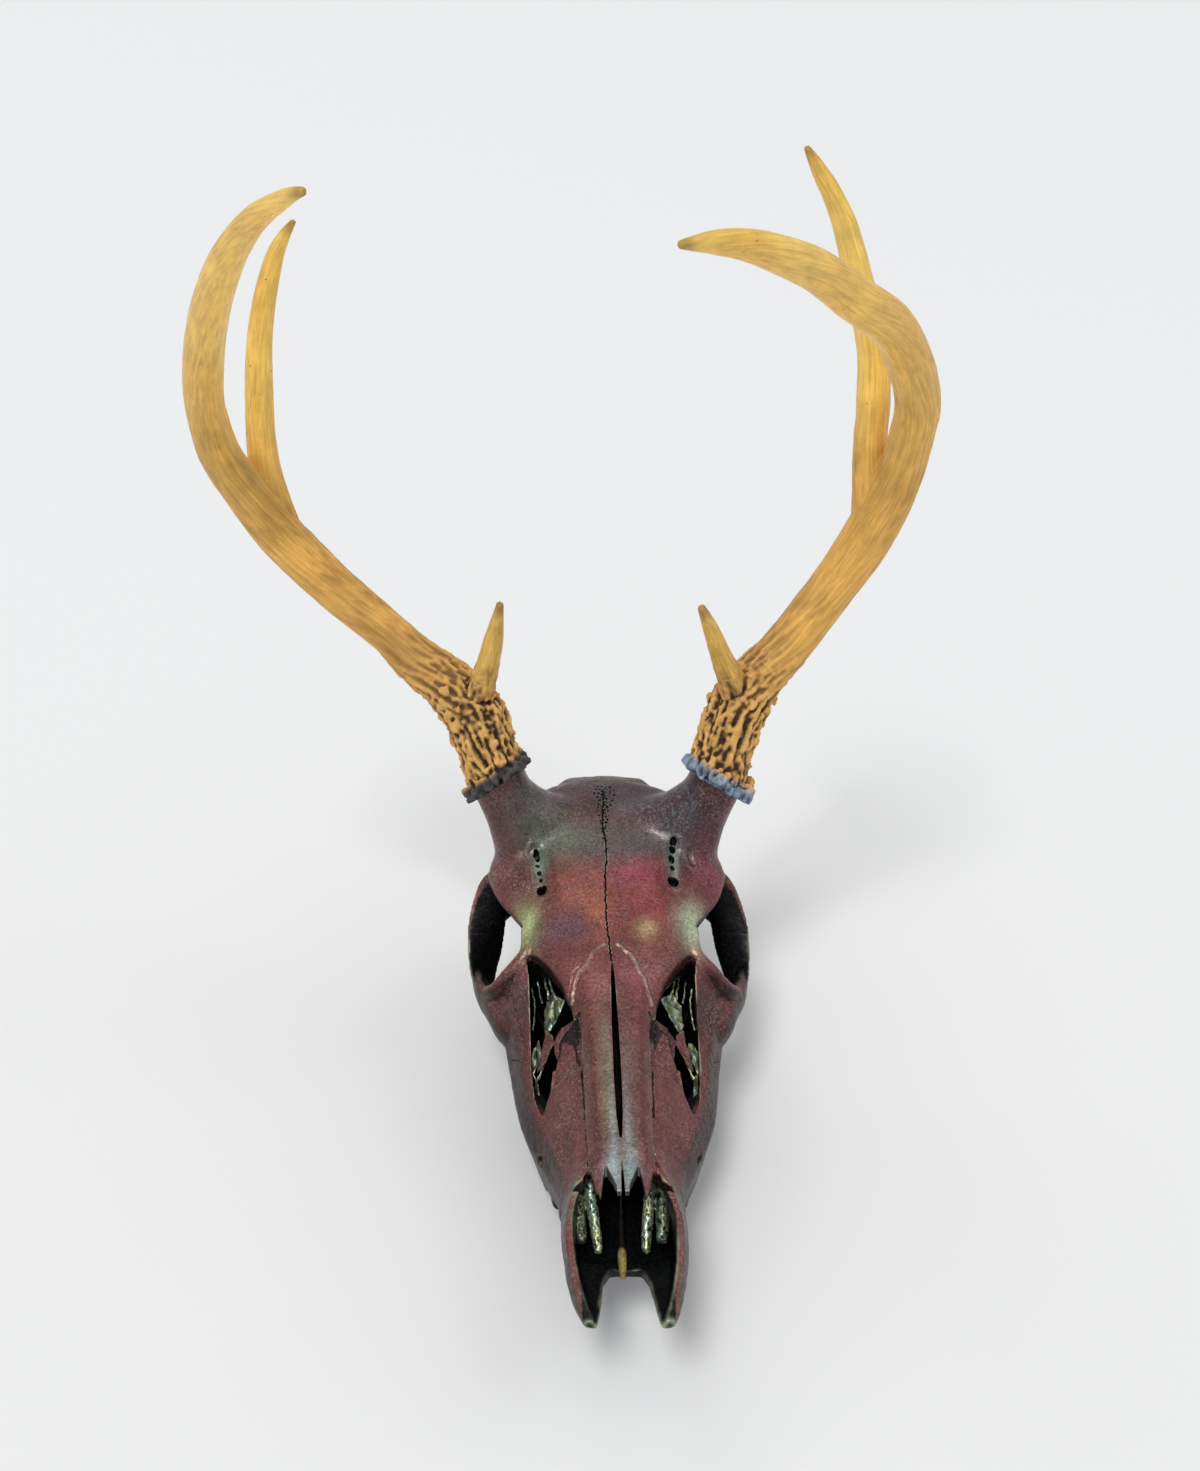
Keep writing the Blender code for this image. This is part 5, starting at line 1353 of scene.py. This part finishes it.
def finishAntler(piece, side, mat):
    mesh, data = piece.data, antlers[side]
    places = placesOf(mesh)
    _, along, across, total, low, mid, tag, ridge = antlerRelief(places, data, data["seed"])
    curl = bends(mesh, 4)
    height = np.clip(0.22 + curl * 3.2 + (ridge - 0.5) * 1.0 + 0.3 * softNoise(places, 6, 55), 0, 1)[:, None]
    rough = blend(linear(antlerLook["groove"]), linear(antlerLook["ridge"]), height)
    tan = np.clip(0.72 + 0.7 * (ridge - 0.5) + 0.5 * softNoise(places, 22, 5), 0, 1)[:, None]
    body = blend(linear(antlerLook["brown"]), linear(antlerLook["gold"]), tan)
    warm = np.clip(0.5 + 0.5 * softNoise(places, 26, 15), 0, 1)[:, None]
    pale = blend(linear(antlerLook["honey"]), linear(antlerLook["cream"]), warm)
    t = (ramp(along, 110, 300) * 0.9 + 0.1 * ramp(total - along, 120, 20))[:, None]
    t = np.where((tag == 1)[:, None], ramp(along, 160, 215)[:, None], t)
    tone = blend(body, pale, t)
    low = np.where(tag == 2, 1 - ramp(along + 9 * softNoise(places, 3.5, 65), 52, 76), low)[:, None]
    tone = np.where((tag == 2)[:, None], 0.45 * body + 0.5 * pale, tone)
    tone = blend(tone, rough, low)
    end = ramp(total - along, 9, 1)[:, None] * 0.55
    tone = blend(tone, linear(antlerLook["tipBrown"]), end)
    rise = (places - np.array(data["beam"][1][:3])) @ np.array(Vector(data["burrAxis"]).normalized())
    crown = 1 - ramp(rise + 0.8 * softNoise(places, 3, 45), 4.2, 7.5)
    # painted highlights on the bulging burr knobs and painted shade between them
    lit = np.clip(0.5 + curl * 1.6, 0, 1)[:, None]
    burr = blend(linear(data["burrTone"]), linear(data["burrHighlight"]), lit)
    setColours(mesh, "tone", blend(tone, burr, crown[:, None]))
    setNumbers(mesh, "coarse", np.clip(low[:, 0] + 0.3 * mid, 0, 1))
    setNumbers(mesh, "specks", ramp(softNoise(places, 30, 25), 0.1, 0.5) * ramp(along, 150, 230))
    setVectors(mesh, "grainWay", np.stack([across[:, 0], across[:, 1], across[:, 2] + along * 0.10], 1))
    wear(piece, mat)


def place(piece, name, slotName, nodes, tilted):
    # Shades, moves the piece into the room, hangs it on the root body and hides the model's parts that it
    # stands for.
    smoothShade(piece.data)
    if tilted:
        piece.data.transform(tip)
        lean(piece.data)
    piece.data.transform(toRoom)
    piece.name = piece.data.name = name
    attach(piece, "root")
    if nodes:
        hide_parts(*nodes)


def buildSkull():
    skull, hull = makeSkull()
    print("skull formed", len(skull.data.vertices))
    skull = markSkull(skull)
    print("skull marked", len(skull.data.vertices))
    hullTree = BVHTree.FromObject(hull, bpy.context.evaluated_depsgraph_get())
    drop(hull)
    skull.data.transform(tip)
    for side in ("left", "right"):
        root, axis = Vector(antlers[side]["beam"][1][:3]), Vector(antlers[side]["burrAxis"]).normalized()
        above = slab(root - axis * 0.25, axis, 40, 40)
        skull = cutAll(skull, [above])
    skull.data.transform(tip.inverted())
    floorCut = prism("floorCut", ((-90, -20), (90, -20), (90, 330), (-90, 330)), "z", -30, 0)
    floorCut.data.transform(tip.inverted())
    skull = cutAll(skull, [floorCut])
    looks = {kind: paintedBone(*values) for kind, values in boneLook["kinds"].items()}
    bend = bendsOf(skull)
    for region in boneRegions:
        kind = region[0]
        skull, halves = cutRegion(skull, region)
        for sign, side in ((1, "left"), (-1, "right")):
            piece = halves[side]
            if kind == "maxilla":
                row = onSide(makeTeeth(), sign)
                piece = boolean(piece, row, "UNION")
                drop(row)
            finishBone(piece, looks[kind], hullTree, bend)
            place(piece, f"{kind}{side.title()}", kind, [f"{kind}_{side}"], True)
    finishBone(skull, looks["braincase"], hullTree, bend)
    place(skull, "brainCase", "braincase", ["braincase"], True)
    print("skull placed")


def buildNose():
    metal = wrinkledMetal(*noseLook["scroll"])
    rose = paintedBone(*boneLook["shelf"])
    for sign, side in ((1, "left"), (-1, "right")):
        scroll = makeScroll(sign)
        scroll.data.materials.append(metal)
        place(scroll, f"turbinate{side.title()}", "turbinate", [f"turbinate_{side}"], True)
        plates = makeSheets("silver", sign)
        plates.data.materials.append(metal)
        place(plates, f"ethmoid{side.title()}", "turbinate", [], True)
        shelf = makeSheets("pink", sign)
        places = placesOf(shelf.data)
        drift = (0.85 + 0.3 * softNoise(places, 5, 131))[:, None]
        setColours(shelf.data, "tone", linear(noseLook["shelfTone"]) * drift)
        # painted highlights on the shelf's bulging edges
        setNumbers(shelf.data, "edge", ramp(bends(shelf.data), 0.08, 0.3) * 0.8)
        setNumbers(shelf.data, "creaseShade", np.zeros(len(places)))
        setNumbers(shelf.data, "shine", np.full(len(places), 0.4))
        shelf.data.materials.append(rose)
        place(shelf, f"noseShelf{side.title()}", "maxilla", [], True)
    wall = remesh(strut("wall", noseBones["wall"], 4, 12), 0.5, 2)
    places = placesOf(wall.data)
    setPlaces(wall.data, places + normalsOf(wall.data) * (0.12 * layeredNoise(places, 5, 61))[:, None])
    ridge = np.clip(0.75 + 0.5 * softNoise(places, 3, 63), 0, 1)
    # painted shade: behind its gold front end the wall is dark, where it lies deep in the passage
    setNumbers(wall.data, "ridge", (1 - ramp(places[:, 1], 50, 54)) * ridge)
    wall.data.materials.append(wrinkledMetal(*noseLook["wall"]))
    place(wall, "vomerWall", "vomer", ["vomer"], True)
    print("nose placed")


def buildAntlers():
    for side in ("left", "right"):
        data = antlers[side]
        whole = makeAntler(side)
        for line, at in data["cuts"]:
            rows, low = data[line], int(at)
            spot = Vector(rows[low][:3]).lerp(Vector(rows[low + 1][:3]), at - low)
            ahead = (Vector(rows[low + 1][:3]) - Vector(rows[low][:3])).normalized()
            gap = slab(spot, ahead, rows[low][3] * (1.7 if line == "beam" else 1.55), 0.02)
            whole = boolean(whole, gap)
            drop(gap)
        parts = parted(whole)
        fork, upper = int(data["cuts"][1][1]), int(data["cuts"][3][1])
        lines = {"antler_base": data["beam"][1:fork], "antler_beam": data["beam"][fork + 1:upper],
                 "antler_tip": data["beam"][upper + 3:], "back_tine": data["back_tine"][3:],
                 "brow_tine": data["brow_tine"][2:]}
        mat = antlerMaterial(f"antler{side.title()}")
        for name, line in lines.items():
            spot = sum((Vector(row[:3]) for row in line), Vector()) / len(line)
            ranked = []
            for part in parts:
                places = placesOf(part.data)
                away = np.linalg.norm(places - np.array(spot), axis=1).min()
                ranked.append((away + 0.3 * (Vector(places.mean(0)) - spot).length, part))
            best = min(ranked, key=lambda pair: pair[0])[1]
            parts.remove(best)
            finishAntler(best, side, mat)
            words = name.split("_")
            place(best, words[0] + words[1].title() + side.title(), name, [f"{name}_{side}"], False)
        for scrap in parts:
            drop(scrap)
        print(side, "antler placed")


makeCamera()
makeStudio()
buildSkull()
buildNose()
buildAntlers()
